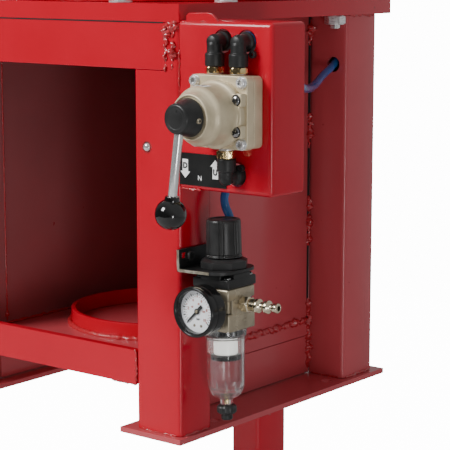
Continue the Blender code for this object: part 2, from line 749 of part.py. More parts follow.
def regulator():
    half = REG_SIDE / 2
    x, y = (REG_X - half, REG_X + half), (REG_Y - half, REG_Y + half)
    body = box("regulator_body", x, y, (REG_BOTTOM, REG_TOP), CAST, bevel=(1.5, 2, upright))
    boss = (REG_X, y[1] - 1, PLUG_Z)
    join(body, prism("outlet_boss", boss, 7.0, 10.0, BACK, 24, helper=True))
    join(body, prism("bowl_seat", (REG_X, REG_Y, REG_BOTTOM - 4), 16.0, 6.0, UP, 32, helper=True))
    thick = 2.5
    low = REG_TOP + GAP
    bonnet = box(
        "regulator_bonnet", (x[0] - 1, x[1] + 1), (y[0] - 1, y[1] + 1), (low, BONNET_TOP), PLASTIC,
        bevel=(2.5, 2, upright),
    )
    neck_top = BONNET_TOP + thick + 9
    place = (REG_X, REG_Y, BONNET_TOP - 1)
    neck = prism("bonnet_neck", place, NECK_RADIUS, neck_top - BONNET_TOP + 1, UP, 32, helper=True)
    join(bonnet, neck)
    nut_low = BONNET_TOP + thick + 2 * GAP
    nut_high = nut_low + 8.0
    nut_profile = [(0, nut_high), (17.5, nut_high), (20.5, nut_high - 2.6), (20.5, nut_low), (0, nut_low)]
    nut = turned("panel_nut", (REG_X, REG_Y, 0), nut_profile, UP, 8, PLASTIC)
    drill(nut, "panel_nut_bore", (REG_X, REG_Y, nut_low - 5), NECK_RADIUS + GAP, 20, sides=32)
    knob()
    bowl_assembly()
    gauge()
    inlet_plug()


def knob():
    """Fluted pressure knob with a rounded top."""
    low = BONNET_TOP + 2.5 + 9 + GAP
    high = 188.5
    flutes, segments = 18, 72

    def build(shape):
        bmesh.ops.create_cone(
            shape, cap_ends=True, segments=segments, radius1=15 * MM, radius2=15 * MM,
            depth=(high - low) * MM,
        )
        top_edges = [e for e in shape.edges if all(v.co.z > 0 for v in e.verts)]
        bmesh.ops.bevel(shape, geom=top_edges, offset=1.8 * MM, segments=2, profile=0.5, affect="EDGES")
        for vert in shape.verts:
            angle = math.atan2(vert.co.y, vert.co.x)
            if math.hypot(vert.co.x, vert.co.y) > 14.9 * MM:
                scale = 1 + 0.025 * math.cos(flutes * angle)
                vert.co.x *= scale
                vert.co.y *= scale

    obj = add("regulator_knob", mesh_of("regulator_knob", build), PLASTIC)
    obj.location = Vector((REG_X, REG_Y, (low + high) / 2)) * MM


def bowl_assembly():
    """Clear bowl hung under the body, the filter element in it and the drain knob under it."""
    rim = REG_BOTTOM - GAP
    seat = REG_BOTTOM - 4 - GAP
    bottom = 35.0
    inner = BOWL_RADIUS - BOWL_WALL
    profile = [
        (16.0 + GAP, rim), (18.2, rim), (18.2, rim - 6), (BOWL_RADIUS + 0.4, rim - 8), (BOWL_RADIUS - 0.4, 48),
        *arc(10.4, (BOWL_RADIUS - 10.8, 46), 0, -80, 4), (5.6, bottom), (5.4, 30.6), (2.6, 30.6),
        (2.6, bottom + 3), *arc(8.0, (inner - 8.4, 47), -80, 0, 4), (inner - 0.2, 60), (inner, rim - 7),
        (16.0 + GAP, rim - 6), (16.0 + GAP, rim),
    ]
    turned("filter_bowl", (REG_X, REG_Y, 0), profile, UP, 24, (CLEAR, 0.0, 0.05))
    element = [
        (0, seat), (8.0, seat), (8.0, 87.8), (10.2, 87.8), (10.2, 74.0), (12.9, 74.0), (12.9, 69.0), (0, 69.0),
    ]
    turned("filter_element", (REG_X, REG_Y, 0), element, UP, 28, (WHITE, 0.0, 0.8))
    drain = [
        (0, 30.3), (5.6, 30.3), (8.6, 28.4), (8.6, 24.0), (7.6, 22.6), (5.0, 21.8), (5.0, 17.4), (0, 17.0),
    ]
    turned("drain_knob", (REG_X, REG_Y, 0), drain, UP, 24, PLASTIC)


def gauge():
    """Pressure gauge screwed into the body's front: case with dial floor, and the needle over it."""
    front = -GAUGE_Y
    body_front = -(REG_Y - REG_SIDE / 2) + GAP
    floor = front - GAUGE_RECESS
    case = [
        (0, floor), (18.6, floor), (18.6, front), (20.0, front), (GAUGE_RADIUS, front - 1.4),
        (GAUGE_RADIUS, front - 9), (19.4, front - 11), (19.4, body_front + 4.0), (7.0, body_front + 3.0),
        (6.0, body_front), (0, body_front),
    ]
    turned("gauge_case", (REG_X, 0, GAUGE_Z), case, FRONT, 32, PLASTIC)
    needle = bpy.data.curves.new("gauge_needle", "CURVE")
    needle.dimensions = "2D"
    needle.fill_mode = "BOTH"
    needle.extrude = 0.35 * MM
    spline = needle.splines.new("POLY")
    hub = [(3.0 * math.cos(a), 3.0 * math.sin(a)) for a in (math.radians(30 * i - 60) for i in range(11))]
    outline = [(-0.5, -15.0), (0.5, -15.0)] + [p for p in hub if p[1] > -2.7 or abs(p[0]) > 1.3]
    spline.points.add(len(outline) - 1)
    for point, (px, pz) in zip(spline.points, outline):
        point.co = (px * MM, pz * MM, 0, 1)
    spline.use_cyclic_u = True
    obj = add("gauge_needle", needle, PLASTIC)
    obj.location = Vector((REG_X, -(floor + 1.4), GAUGE_Z)) * MM
    obj.rotation_euler = (math.radians(90), NEEDLE_REST, 0)


def inlet_plug():
    """Male quick-connect plug pointing right."""
    profile = [
        (0, 38.0), (3.2, 38.0), (4.2, 37.2), (4.2, 33.5), (3.2, 32.0), (3.2, 29.5), (5.8, 28.0), (5.8, 24.5),
        (4.0, 22.5), (4.0, 19.5), (6.4, 18.0), (6.4, 11.5), (8.0, 9.5), (8.0, 3.0), (6.2, 2.0), (6.2, 0), (0, 0),
    ]
    turned("inlet_plug", (REG_X + REG_SIDE / 2 + GAP, REG_Y, PLUG_Z), profile, RIGHT, 20, CAST)


def leaning(*builders):
    """What the builders make hangs on an empty that leans about y through the pressure knob."""
    pivot = Vector((REG_X, REG_Y, 175.0)) * MM
    mount = bpy.data.objects.new("regulator_mount", None)
    PARTS.objects.link(mount)
    mount.parent = MACHINE
    turn = Matrix.Rotation(-REG_LEAN, 3, "Y")
    mount.location = pivot - turn @ pivot
    mount.rotation_euler = turn.to_euler()
    before = set(bpy.data.objects)
    for build in builders:
        build()
    for obj in set(bpy.data.objects) - before:
        obj.parent = mount


def main():
    front_posts()
    rear_posts()
    panels()
    rails()
    floor()
    top()
    strips()
    stand()
    ball_catch()
    cylinder_barrel()
    cylinder_cover()
    tie_rods()
    rod_gland()
    ram()
    control_box()
    valve()
    lever()
    fittings()
    position_label()
    tubes()
    leaning(regulator_bracket, regulator)


main()
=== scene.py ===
"""Looks of the pneumatic oil filter crusher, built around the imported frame. Positions are read from the
frame's nodes. The local frame is the machine's own: millimetres, x from its middle plane, y back from the
front faces of the posts, z up from the top of the base strips."""

import json
from math import atan2, cos, pi, radians, sin

import bmesh
import bpy
from mathutils import Matrix, Vector, noise

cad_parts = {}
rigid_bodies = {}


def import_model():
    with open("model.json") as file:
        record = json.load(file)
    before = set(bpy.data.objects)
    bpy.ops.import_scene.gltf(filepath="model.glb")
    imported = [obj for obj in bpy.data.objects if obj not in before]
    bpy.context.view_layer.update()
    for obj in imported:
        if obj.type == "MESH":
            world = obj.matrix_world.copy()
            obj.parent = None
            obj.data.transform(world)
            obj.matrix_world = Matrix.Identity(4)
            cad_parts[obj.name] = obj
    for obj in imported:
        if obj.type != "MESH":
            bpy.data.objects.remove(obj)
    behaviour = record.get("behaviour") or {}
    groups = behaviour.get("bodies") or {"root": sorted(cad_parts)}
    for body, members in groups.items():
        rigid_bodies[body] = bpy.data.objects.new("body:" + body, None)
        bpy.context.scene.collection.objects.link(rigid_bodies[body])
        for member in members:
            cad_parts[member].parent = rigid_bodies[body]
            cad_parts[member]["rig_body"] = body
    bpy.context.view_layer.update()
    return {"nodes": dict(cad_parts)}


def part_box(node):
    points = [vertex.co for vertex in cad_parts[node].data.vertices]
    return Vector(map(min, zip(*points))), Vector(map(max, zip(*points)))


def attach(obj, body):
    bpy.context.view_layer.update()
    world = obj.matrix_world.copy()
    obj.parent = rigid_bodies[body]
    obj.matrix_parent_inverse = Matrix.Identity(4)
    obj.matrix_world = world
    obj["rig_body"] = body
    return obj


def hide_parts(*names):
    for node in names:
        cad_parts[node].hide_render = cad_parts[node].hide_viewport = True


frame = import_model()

MM = 0.001
NODES = frame["nodes"]

TOP_LOW, TOP_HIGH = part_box("top_plate")
ORIGIN = Vector(((TOP_LOW.x + TOP_HIGH.x) / 2, TOP_LOW.y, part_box("base_strip_right")[1].z))


def at(x, y, z):
    """A point of the machine's own frame, in world metres."""
    return ORIGIN + Vector((x, y, z)) * MM


def span(node):
    """A node's lowest and highest corners in the machine's own frame, in millimetres."""
    low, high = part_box(node)
    return (low - ORIGIN) / MM, (high - ORIGIN) / MM


def middle(node):
    low, high = span(node)
    return (low + high) / 2


# Materials

NICK_COLOUR = (0.24, 0.008, 0.012, 1)
COAT_ROUGHNESS = 0.08
GRAIN_STRETCH = (1, 1, 12)
WHITE = 14.0  # strength at which the floor and the background reach the camera as white


def rgba(tone):
    """A colour for a socket, from three numbers or from one number for a grey."""
    return (*(tone if isinstance(tone, tuple) else (tone,) * 3), 1)


class Look:
    """The material of this name, new or already made, and its shader's sockets."""

    def __init__(self, name):
        self.material = bpy.data.materials.get(name) or bpy.data.materials.new(name)
        self.material.use_nodes = True
        self.tree = self.material.node_tree
        self.shader = self.tree.nodes["Principled BSDF"].inputs

    def set(self, values):
        for name, value in values.items():
            self.shader[name].default_value = value

    def join(self, source, name):
        self.tree.links.new(source, self.shader[name])

    def node(self, kind, values=None, sources=None):
        """A new node, with values set on some of its sockets and sources linked into others."""
        made = self.tree.nodes.new(kind)
        for name, value in (values or {}).items():
            made.inputs[name].default_value = value
        for name, source in (sources or {}).items():
            self.tree.links.new(source, made.inputs[name])
        return made

    def place(self):
        return self.node("ShaderNodeTexCoord").outputs["Object"]

    def noise(self, scale, detail=3.0, rough=0.5):
        values = {"Scale": scale, "Detail": detail, "Roughness": rough}
        return self.node("ShaderNodeTexNoise", values, {"Vector": self.place()}).outputs["Fac"]

    def ramp(self, source, low, dark, high, light):
        """The dark tone up to low, the light one from high, and a blend between them."""
        ramp = self.node("ShaderNodeValToRGB", sources={"Fac": source})
        for index, (place, tone) in enumerate(((low, dark), (high, light))):
            ramp.color_ramp.elements[index].position = place
            ramp.color_ramp.elements[index].color = rgba(tone)
        return ramp.outputs["Color"]

    def range(self, source, low, high):
        values = {"To Min": low, "To Max": high}
        return self.node("ShaderNodeMapRange", values, {"Value": source}).outputs["Result"]

    def bumps(self, *layers):
        """Links a chain of bumps to the shader. A layer is (height source, strength, distance in metres)."""
        below = {}
        for source, strength, distance in layers:
            values = {"Strength": strength, "Distance": distance}
            bump = self.node("ShaderNodeBump", values, {"Height": source, **below})
            below = {"Normal": bump.outputs["Normal"]}
        self.join(below["Normal"], "Normal")


def surface(name, dark, light, rough, metallic=0.0, grain=40, texture=900, depth=0.00004, coat=0.0, shine=0.5):
    """The shared recipe: a colour that drifts between two tones, uneven gloss and a fine grain."""
    look = Look(name)
    drift = look.noise(grain)
    look.join(look.ramp(drift, 0.3, dark, 0.7, light), "Base Color")
    look.join(look.range(drift, *rough), "Roughness")
    look.set({"Metallic": metallic, "Specular IOR Level": shine})
    look.set({"Coat Weight": coat, "Coat Roughness": COAT_ROUGHNESS})
    look.bumps((look.noise(texture, 2.0), 0.5, depth))
    return look.material


def paint(name, dark=(0.47, 0.003, 0.016), light=(0.54, 0.005, 0.022), lumpy=False):
    """Gloss red paint over hot-rolled plate: slow waves, orange peel, and a few dark specks and nicks."""
    look = Look(name)
    base = look.ramp(look.noise(9.0, 4.0), 0.25, dark, 0.75, light)
    nicks = look.ramp(look.noise(95.0, 4.0, 0.65), 0.70, 0.0, 0.76, 1.0)
    mix = look.node("ShaderNodeMix")
    mix.data_type = "RGBA"
    look.tree.links.new(nicks, mix.inputs["Factor"])
    look.tree.links.new(base, mix.inputs["A"])
    mix.inputs["B"].default_value = NICK_COLOUR
    look.join(mix.outputs["Result"], "Base Color")
    gloss, shine = ((0.06, 0.22), 0.8) if lumpy else ((0.16, 0.28), 0.42)
    look.join(look.range(look.noise(30.0), *gloss), "Roughness")
    look.set({"Specular IOR Level": shine})
    if lumpy:
        look.bumps((look.noise(260.0, 4.0), 0.9, 0.0008), (look.noise(900.0, 2.0), 0.5, 0.0002))
    else:
        look.bumps((look.noise(14.0, 2.0), 0.3, 0.0005), (look.noise(420.0, 2.0), 0.25, 0.00004))
    return look.material


def brushed(name, dark, light, rough, metallic=1.0):
    """Turned or drawn metal: grain stretched round the piece."""
    look = Look(name)
    mapping = look.node("ShaderNodeMapping", {"Scale": GRAIN_STRETCH}, {"Vector": look.place()})
    grain = look.node("ShaderNodeTexNoise", {"Scale": 180.0}, {"Vector": mapping.outputs["Vector"]})
    lines = grain.outputs["Fac"]
    look.join(look.ramp(lines, 0.3, dark, 0.7, light), "Base Color")
    look.join(look.range(lines, *rough), "Roughness")
    look.set({"Metallic": metallic})
    look.bumps((lines, 0.2, 0.00002))
    return look.material


def clear(name, tint, rough, ior, alpha):
    """Clear plastic or glass. Its alpha lets light through that the renderer's refraction holds back."""
    look = Look(name)
    drift = look.noise(60.0)
    look.join(look.ramp(drift, 0.2, tint, 0.8, 1.0), "Base Color")
    look.join(look.range(drift, *rough), "Roughness")
    look.set({"Transmission Weight": 1.0, "Alpha": alpha, "IOR": ior})
    return look.material


LOOKS = {
    "paint": paint("red_paint_fine"),
    # Painted shade: a second copy of the same red paint, greyer and paler, for the pieces that sit in shade, so their
    # colour carries the tone that shade gives them.
    "dull": paint("red_paint_shade_toned", (0.46, 0.066, 0.078), (0.53, 0.078, 0.092)),
    # Painted shade: a darker, greyer red for the faces inside the chamber, where shade falls. It is the same paint as
    # the rest.
    "inner": paint("red_paint_recess_shade", (0.26, 0.088, 0.094), (0.31, 0.104, 0.110)),
    "weld": paint("red_weld", (0.40, 0.018, 0.026), (0.46, 0.026, 0.034), lumpy=True),
    "zinc": brushed("zinc_steel_fine", 0.70, 0.82, (0.22, 0.34), 0.6),
    "polished": brushed("polished_steel", 0.74, 0.86, (0.14, 0.20), 0.75),
    "plated": brushed("plated_steel", (0.56, 0.48, 0.34), (0.80, 0.72, 0.55), (0.14, 0.26)),
    "ground": brushed("ground_steel_fine", 0.40, 0.60, (0.25, 0.42)),
    "cast": surface("champagne_cast", (0.56, 0.47, 0.31), (0.70, 0.60, 0.42), (0.32, 0.44), 0.25, 60, 1500, 0.00006),
    "nickel": surface("nickel_plate", (0.32, 0.27, 0.19), (0.46, 0.40, 0.29), (0.20, 0.32), 0.5, 90, 900, 0.00003),
    "brass": surface("brass_fine", (0.66, 0.46, 0.20), (0.88, 0.72, 0.40), (0.12, 0.26), 1.0, 120, 900, 0.00002),
    "plastic": surface("black_plastic_fine", 0.012, 0.024, (0.34, 0.46), 0.0, 60, 1600, 0.00006, shine=0.35),
    "knob": surface("black_nylon", 0.014, 0.028, (0.28, 0.40), 0.0, 80, 2200, 0.00005, shine=0.35),
    "gloss": surface("black_gloss_fine", 0.004, 0.008, (0.05, 0.12), 0.0, 30, 500, 0.00001, coat=0.3),
    "case": surface("black_case", 0.006, 0.012, (0.12, 0.24), 0.0, 50, 900, 0.00002, shine=0.4),
    "bracket": surface("black_bracket", 0.016, 0.034, (0.30, 0.50), 0.3, 50, 1300, 0.00004, shine=0.35),
    "bare": brushed("sheared_edge", (0.50, 0.43, 0.31), (0.86, 0.80, 0.66), (0.22, 0.40)),
    "hose": surface(
        "blue_hose", (0.014, 0.090, 0.28), (0.024, 0.125, 0.38), (0.12, 0.22), 0.0, 60, 500, 0.00001, coat=0.1
    ),
    "white": surface("white_sinter", (0.86, 0.85, 0.80), (0.95, 0.94, 0.90), (0.75, 0.95), 0.0, 300, 2600, 0.00020),
    "dial": surface("dial_white", (0.86, 0.87, 0.90), (0.93, 0.94, 0.96), (0.35, 0.45), 0.0, 20, 300, 0.000002),
    "ink": surface("dial_black", 0.01, 0.02, (0.5, 0.6), 0.0, 200, 900, 0.000002),
    "red_ink": surface("dial_red", (0.30, 0.05, 0.02), (0.40, 0.08, 0.03), (0.5, 0.6), 0.0, 200, 900, 0.000002),
    "print": surface("label_print", 0.86, 0.94, (0.4, 0.5), 0.0, 80, 900, 0.000004),
    "label": surface("label_film", 0.006, 0.014, (0.34, 0.46), 0.0, 40, 500, 0.00002, shine=0.3),
    "dark_screw": brushed("dark_screw", 0.12, 0.42, (0.12, 0.24)),
    # Near-black that paints shade inside holes, wells, sockets and screw recesses, and in dark seams and slits. The
    # lever hub's mark uses it too.
    "hole": surface("painted_shade_and_mark_black", 0.004, 0.010, (0.7, 0.9), 0.0, 200, 900, 0.00004),
    "bowl": clear("clear_bowl", (0.93, 0.96, 0.96), (0.01, 0.05), 1.49, 0.86),
    "glass": clear("gauge_glass", (0.97, 0.98, 0.98), (0.0, 0.03), 1.10, 0.12),
}

# Stands in for the light that the clear bowl would let through to the element.
Look("white_sinter").set({"Emission Color": (1.0, 0.98, 0.92, 1), "Emission Strength": 0.9})


# Mesh helpers

def finish_mesh(name, shape, look, angle=32):
    mesh = bpy.data.meshes.new(name)
    bmesh.ops.recalc_face_normals(shape, faces=shape.faces)
    shape.to_mesh(mesh)
    shape.free()
    spare = mesh.attributes.get("custom_normal")
    if spare:
        mesh.attributes.remove(spare)
    mesh.shade_smooth()
    mesh.set_sharp_from_angle(angle=radians(angle))
    mesh.materials.append(LOOKS[look])
    return linked(name, mesh)


def bevel(obj, width, segments=2):
    step = obj.modifiers.new("edges", "BEVEL")
    step.width = width * MM
    step.segments = segments
    step.limit_method = "ANGLE"
    step.angle_limit = radians(32)
    step.harden_normals = True
    return obj


LEANING = (
    "regulator_bracket", "regulator_body", "regulator_bonnet", "regulator_knob", "panel_nut", "inlet_plug",
    "gauge_case", "gauge_needle", "filter_bowl", "filter_element", "drain_knob",
)


def lean_of_regulator():
    """The filter-regulator hangs a little askew. Its pieces are built upright and leaned about its knob."""
    top, bottom = middle("regulator_knob"), middle("drain_knob")
    pivot = Matrix.Translation(at(*top))
    return pivot @ Matrix.Rotation(-atan2(bottom.x - top.x, top.z - bottom.z), 4, "Y") @ pivot.inverted()


LEAN = lean_of_regulator()


def belongs(obj, node, placed=False):
    """obj is a detail on that node: it rides on its body."""
    if node in LEANING and not placed:
        obj.matrix_world = LEAN @ obj.matrix_world
    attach(obj, NODES[node]["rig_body"])
    return obj


def stand_for(obj, node, placed=False):
    """obj is what this CAD node looks like: the node is hidden and obj rides on its body."""
    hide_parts(node)
    return belongs(obj, node, placed)


def fine(node, make, *shape, **more):
    """make builds the piece that is what this node looks like."""
    return stand_for(make(node + "_fine", *shape, **more), node)


def refined(node, look="paint", width=0.8, segments=2):
    """The CAD node's own shape with its triangles merged, its round stretches smooth and its edges rounded."""
    shape = bmesh.new()
    shape.from_mesh(NODES[node].data)
    bmesh.ops.remove_doubles(shape, verts=shape.verts, dist=1e-6)
    bmesh.ops.dissolve_limit(shape, angle_limit=radians(0.6), verts=shape.verts, edges=shape.edges)
    obj = finish_mesh(node + "_fine", shape, look)
    if width:
        bevel(obj, width, segments)
    return stand_for(obj, node, placed=True)


TURNS = {
    "up": Matrix.Identity(4),
    "front": Matrix.Rotation(radians(90), 4, "X"),
    "back": Matrix.Rotation(radians(-90), 4, "X"),
    "right": Matrix.Rotation(radians(90), 4, "Y"),
    "down": Matrix.Rotation(radians(180), 4, "X"),
}


def facing(place, turn):
    return Matrix.Translation(at(*place)) @ TURNS[turn]


def rounded(profile, radius, steps=3):
    """The profile with each inner corner replaced by a short curve."""
    points = [Vector(point) for point in profile]
    found = [points[0]]
    for before, here, after in zip(points, points[1:], points[2:]):
        back, on = before - here, after - here
        reach = min(radius, back.length * 0.45, on.length * 0.45)
        start, end = here + back.normalized() * reach, here + on.normalized() * reach
        for i in range(steps + 1):
            t = i / steps
            found.append(start * (1 - t) ** 2 + here * 2 * t * (1 - t) + end * t * t)
    return [*found, points[-1]]


def disc(radius, low, high):
    """Profile of a solid cylinder."""
    return [(0, high), (radius, high), (radius, low), (0, low)]


def sleeve(inner, outer, low, high):
    """Profile of a ring."""
    return [(inner, high), (outer, high), (outer, low), (inner, low), (inner, high)]


def lathe(name, place, profile, look, turn="up", soft=0.4, sides=64, wave=None, lean=None):
    """A turned piece at place, in the machine's frame. wave(angle, radius) may scale a radius."""
    points = rounded([Vector((r, h, 0)).to_2d() for r, h in profile], soft) if soft else [Vector(p) for p in profile]
    shape = bmesh.new()
    rings = []
    for radius, height in points:
        if radius < 1e-6:
            rings.append([shape.verts.new((0, 0, height * MM))])
            continue
        ring = []
        for i in range(sides):
            angle = 2 * pi * i / sides
            here = radius * (wave(angle, radius) if wave else 1)
            ring.append(shape.verts.new((here * MM * cos(angle), here * MM * sin(angle), height * MM)))
        rings.append(ring)
    for a, b in zip(rings, rings[1:]):
        for i in range(sides):
            j = (i + 1) % sides
            face = list(dict.fromkeys((a[i % len(a)], a[j % len(a)], b[j % len(b)], b[i % len(b)])))
            if len(face) > 2:
                shape.faces.new(face)
    obj = finish_mesh(name, shape, look, 28)
    obj.matrix_world = Matrix.Translation(at(*place)) @ (lean or Matrix.Identity(4)) @ TURNS[turn]
    return obj


def block(name, low, high, look, radius=0.5, segments=2, test=None):
    """A block between two corners in the machine's frame, with rounded edges."""
    shape = bmesh.new()
    bmesh.ops.create_cube(shape, size=1)
    low, high = Vector(low), Vector(high)
    for vert in shape.verts:
        part = vert.co + Vector((0.5, 0.5, 0.5))
        vert.co = at(*[low[i] + part[i] * (high[i] - low[i]) for i in range(3)])
    if radius:
        edges = [edge for edge in shape.edges if not test or test(edge)]
        bmesh.ops.bevel(shape, geom=edges, offset=radius * MM, segments=segments, profile=0.5, affect="EDGES")
    return finish_mesh(name, shape, look)


def outline(name, points, depth, look, matrix, soft=0):
    """A flat shape with a thickness, from a closed outline in millimetres, placed by matrix."""
    shape = bmesh.new()
    face = shape.faces.new([shape.verts.new((x * MM, y * MM, 0)) for x, y in points])
    grown = bmesh.ops.extrude_face_region(shape, geom=[face])
    moved = [item for item in grown["geom"] if isinstance(item, bmesh.types.BMVert)]
    bmesh.ops.translate(shape, verts=moved, vec=(0, 0, depth * MM))
    obj = finish_mesh(name, shape, look)
    obj.matrix_world = matrix
    if soft:
        bevel(obj, soft, 2)
    return obj


def linked(name, data):
    """A new object of this data, in the scene."""
    obj = bpy.data.objects.new(name, data)
    bpy.context.scene.collection.objects.link(obj)
    return obj


def merged(name, pieces):
    """Several new pieces as one object, each keeping its material."""
    bpy.context.view_layer.update()
    shape = bmesh.new()
    looks = []
    for piece in pieces:
        mesh = piece.data.copy()
        mesh.transform(piece.matrix_world)
        own = piece.data.materials[0]
        if own not in looks:
            looks.append(own)
        start = len(shape.faces)
        shape.from_mesh(mesh)
        shape.faces.ensure_lookup_table()
        for face in shape.faces[start:]:
            face.material_index = looks.index(own)
        bpy.data.meshes.remove(mesh)
        bpy.data.objects.remove(piece)
    mesh = bpy.data.meshes.new(name)
    shape.to_mesh(mesh)
    shape.free()
    for own in looks:
        mesh.materials.append(own)
    return linked(name, mesh)


BEAD_STEP = 0.8
BEAD_SIDES = 10


def bead(name, points, radius, pitch=2.6, closed=False, rough=0.30):
    """A weld bead along points of the machine's frame: a chain of overlapping puddles, uneven as by hand."""
    knots = [Vector(point) for point in points]
    if closed:
        knots.append(knots[0])
    lengths = [0]
    for a, b in zip(knots, knots[1:]):
        lengths.append(lengths[-1] + (b - a).length)
    count = max(6, int(lengths[-1] / BEAD_STEP))
    shape = bmesh.new()
    rings = []
    seed = sum(ord(letter) for letter in name)
    index = 0
    for k in range(count + (0 if closed else 1)):
        along = lengths[-1] * k / count
        while index < len(knots) - 2 and lengths[index + 1] < along:
            index += 1
        step = knots[index + 1] - knots[index]
        here = knots[index] + step * ((along - lengths[index]) / step.length)
        side = step.normalized().orthogonal().normalized()
        other = step.normalized().cross(side).normalized()
        puddle = 0.86 + 0.14 * abs(cos(pi * along / pitch))
        swell = 1 + rough * noise.noise(Vector((along * 0.11, seed, 0)))
        taper = 1 if closed else min(1, 0.35 + min(along, lengths[-1] - along) / (2 * radius))
        drift = [noise.noise(Vector((along * 0.2, seed, layer))) for layer in (5, 9)]
        here = here + (side * drift[0] + other * drift[1]) * radius * rough
        ring = []
        for i in range(BEAD_SIDES):
            angle = 2 * pi * i / BEAD_SIDES
            lump = 1 + 0.8 * rough * noise.noise(Vector((along * 0.5, angle * 1.3, seed)))
            reach = radius * puddle * swell * taper * lump
            outward = side * cos(angle) + other * sin(angle)
            ring.append(shape.verts.new(at(*(here + outward * reach))))
        rings.append(ring)
    pairs = list(zip(rings, rings[1:]))
    if closed:
        pairs.append((rings[-1], rings[0]))
    for a, b in pairs:
        for i in range(BEAD_SIDES):
            j = (i + 1) % BEAD_SIDES
            shape.faces.new((a[i], a[j], b[j], b[i]))
    if not closed:
        shape.faces.new(rings[0])
        shape.faces.new(rings[-1])
    return belongs(finish_mesh(name, shape, "weld", 80), "top_plate")


def hexagon(name, place, flats, height, look, turn="up", spin=0, chamfer=0.9):
    """A hexagonal nut or fitting body with chamfered corners."""
    corner = flats / 2 / cos(radians(30))

    def wave(angle, radius):
        local = (angle - spin) % radians(60) - radians(30)
        edge = flats / 2 / cos(local)
        return min(1, edge / radius)

    flat_end = corner - chamfer * 1.6
    profile = [(0, height), (flat_end, height), (corner, height - chamfer), (corner, chamfer), (flat_end, 0), (0, 0)]
    return lathe(name, place, profile, look, turn, 0, 96, wave)


def cross_screw(name, place, radius, look, turn="front", spin=0.4, dome=0.9):
    """A pan-head screw with a cross recess."""
    profile = [
        (0, dome + 1.6), (radius * 0.45, dome + 1.5), (radius * 0.85, 1.4), (radius, 0.7), (radius, -0.6), (0, -0.6),
    ]
    pieces = [lathe(name, place, profile, look, turn, 0.5, 40)]
    # Near-black bars set into the dome paint the shade of the cross recess.
    top = Matrix.Translation((0, 0, (dome + 1.22) * MM))
    reach, half = radius * 0.62, 0.42
    bar = [(-reach, -half), (reach, -half), (reach, half), (-reach, half)]
    for i in range(2):
        turned = facing(place, turn) @ Matrix.Rotation(spin + i * pi / 2, 4, "Z")
        pieces.append(outline(f"{name}_slot_{i}", bar, 0.5, "hole", turned @ top))
    return merged(name, pieces)


# Welded body and stand

LEG_X = 143.5
LEG_TUBE = (31, 42)
FOOT_BAR = 40
LEG_Y = {"right": 125.3, "left": 27}
HALF = (TOP_HIGH.x - TOP_LOW.x) / 2 / MM
HEIGHT = (TOP_LOW.z - ORIGIN.z) / MM
UPPER_RAIL_HALF = 139
SLIT = 3.6


def body():
    refined("top_plate", width=1.2, segments=3)
    for side in ("right", "left"):
        refined(f"front_post_{side}", width=0.5)
        # Rear posts, base strips and aprons take the copy of the red paint toned for shade: painted shade.
        refined(f"rear_post_{side}", "dull", 0.5)
        refined(f"base_strip_{side}", "dull", 0.7)
        refined(f"apron_{side}", "dull", 0.6)
        refined(f"leg_{side}", width=0.6)
        side_panel(side)
    for node in ("upper_front_rail", "lower_front_rail", "cross_tube"):
        refined(node, width=0.8)
    # The floor plate takes the copy of the red paint toned for shade: painted shade.
    refined("floor_plate", "dull", 0.8)
    # The back panel takes the darker red that paints the chamber's shade.
    refined("back_panel", "inner", 0.8)
    # A near-black strip along the rail's top edge paints the shade under the top plate's overhang.
    corners = (-UPPER_RAIL_HALF, -0.2, HEIGHT - 1.1), (UPPER_RAIL_HALF, 1, HEIGHT + 0.2)
    belongs(block("top_seam", *corners, "hole", 0.1, 1), "upper_front_rail")
    refined("control_box", width=0.4)
    ring()


def side_panel(side):
    """The panel stops short of the rear post, which leaves the dark slit between the stitch welds. A near-black block
    set in the slit paints the slit's shade. The right panel takes the red paint toned for shade, the left one the
    darker red that paints the chamber's shade.
    """
    node = f"side_panel_{side}"
    low, high = span(node)
    look, inside, outside = ("dull", 0.2, 0.4) if side == "right" else ("inner", 0.4, 0.2)
    fine(node, block, low, (high.x, high.y - SLIT, high.z), look, 0.8)
    start, end = (low.x + inside, high.y - SLIT + 0.1, low.z + 1), (high.x - outside, high.y - 0.1, high.z - 1)
    belongs(block(f"slit_shade_{side}", start, end, "hole", 0.1, 1), node)


def ring():
    low, high = span("collar_ring")
    centre = middle("collar_ring")
    outer = (high.x - low.x) / 2
    profile = sleeve(outer - 4, outer, low.z, high.z)
    fine("collar_ring", lathe, (centre.x, centre.y, 0), profile, "paint", "up", 1, 128)
    circle = []
    for i in range(96):
        angle, reach = 2 * pi * i / 96, outer + 1.2
        circle.append((centre.x + reach * cos(angle), centre.y + reach * sin(angle), low.z + 0.8))
    bead("weld_collar", circle, 2.6, closed=True)


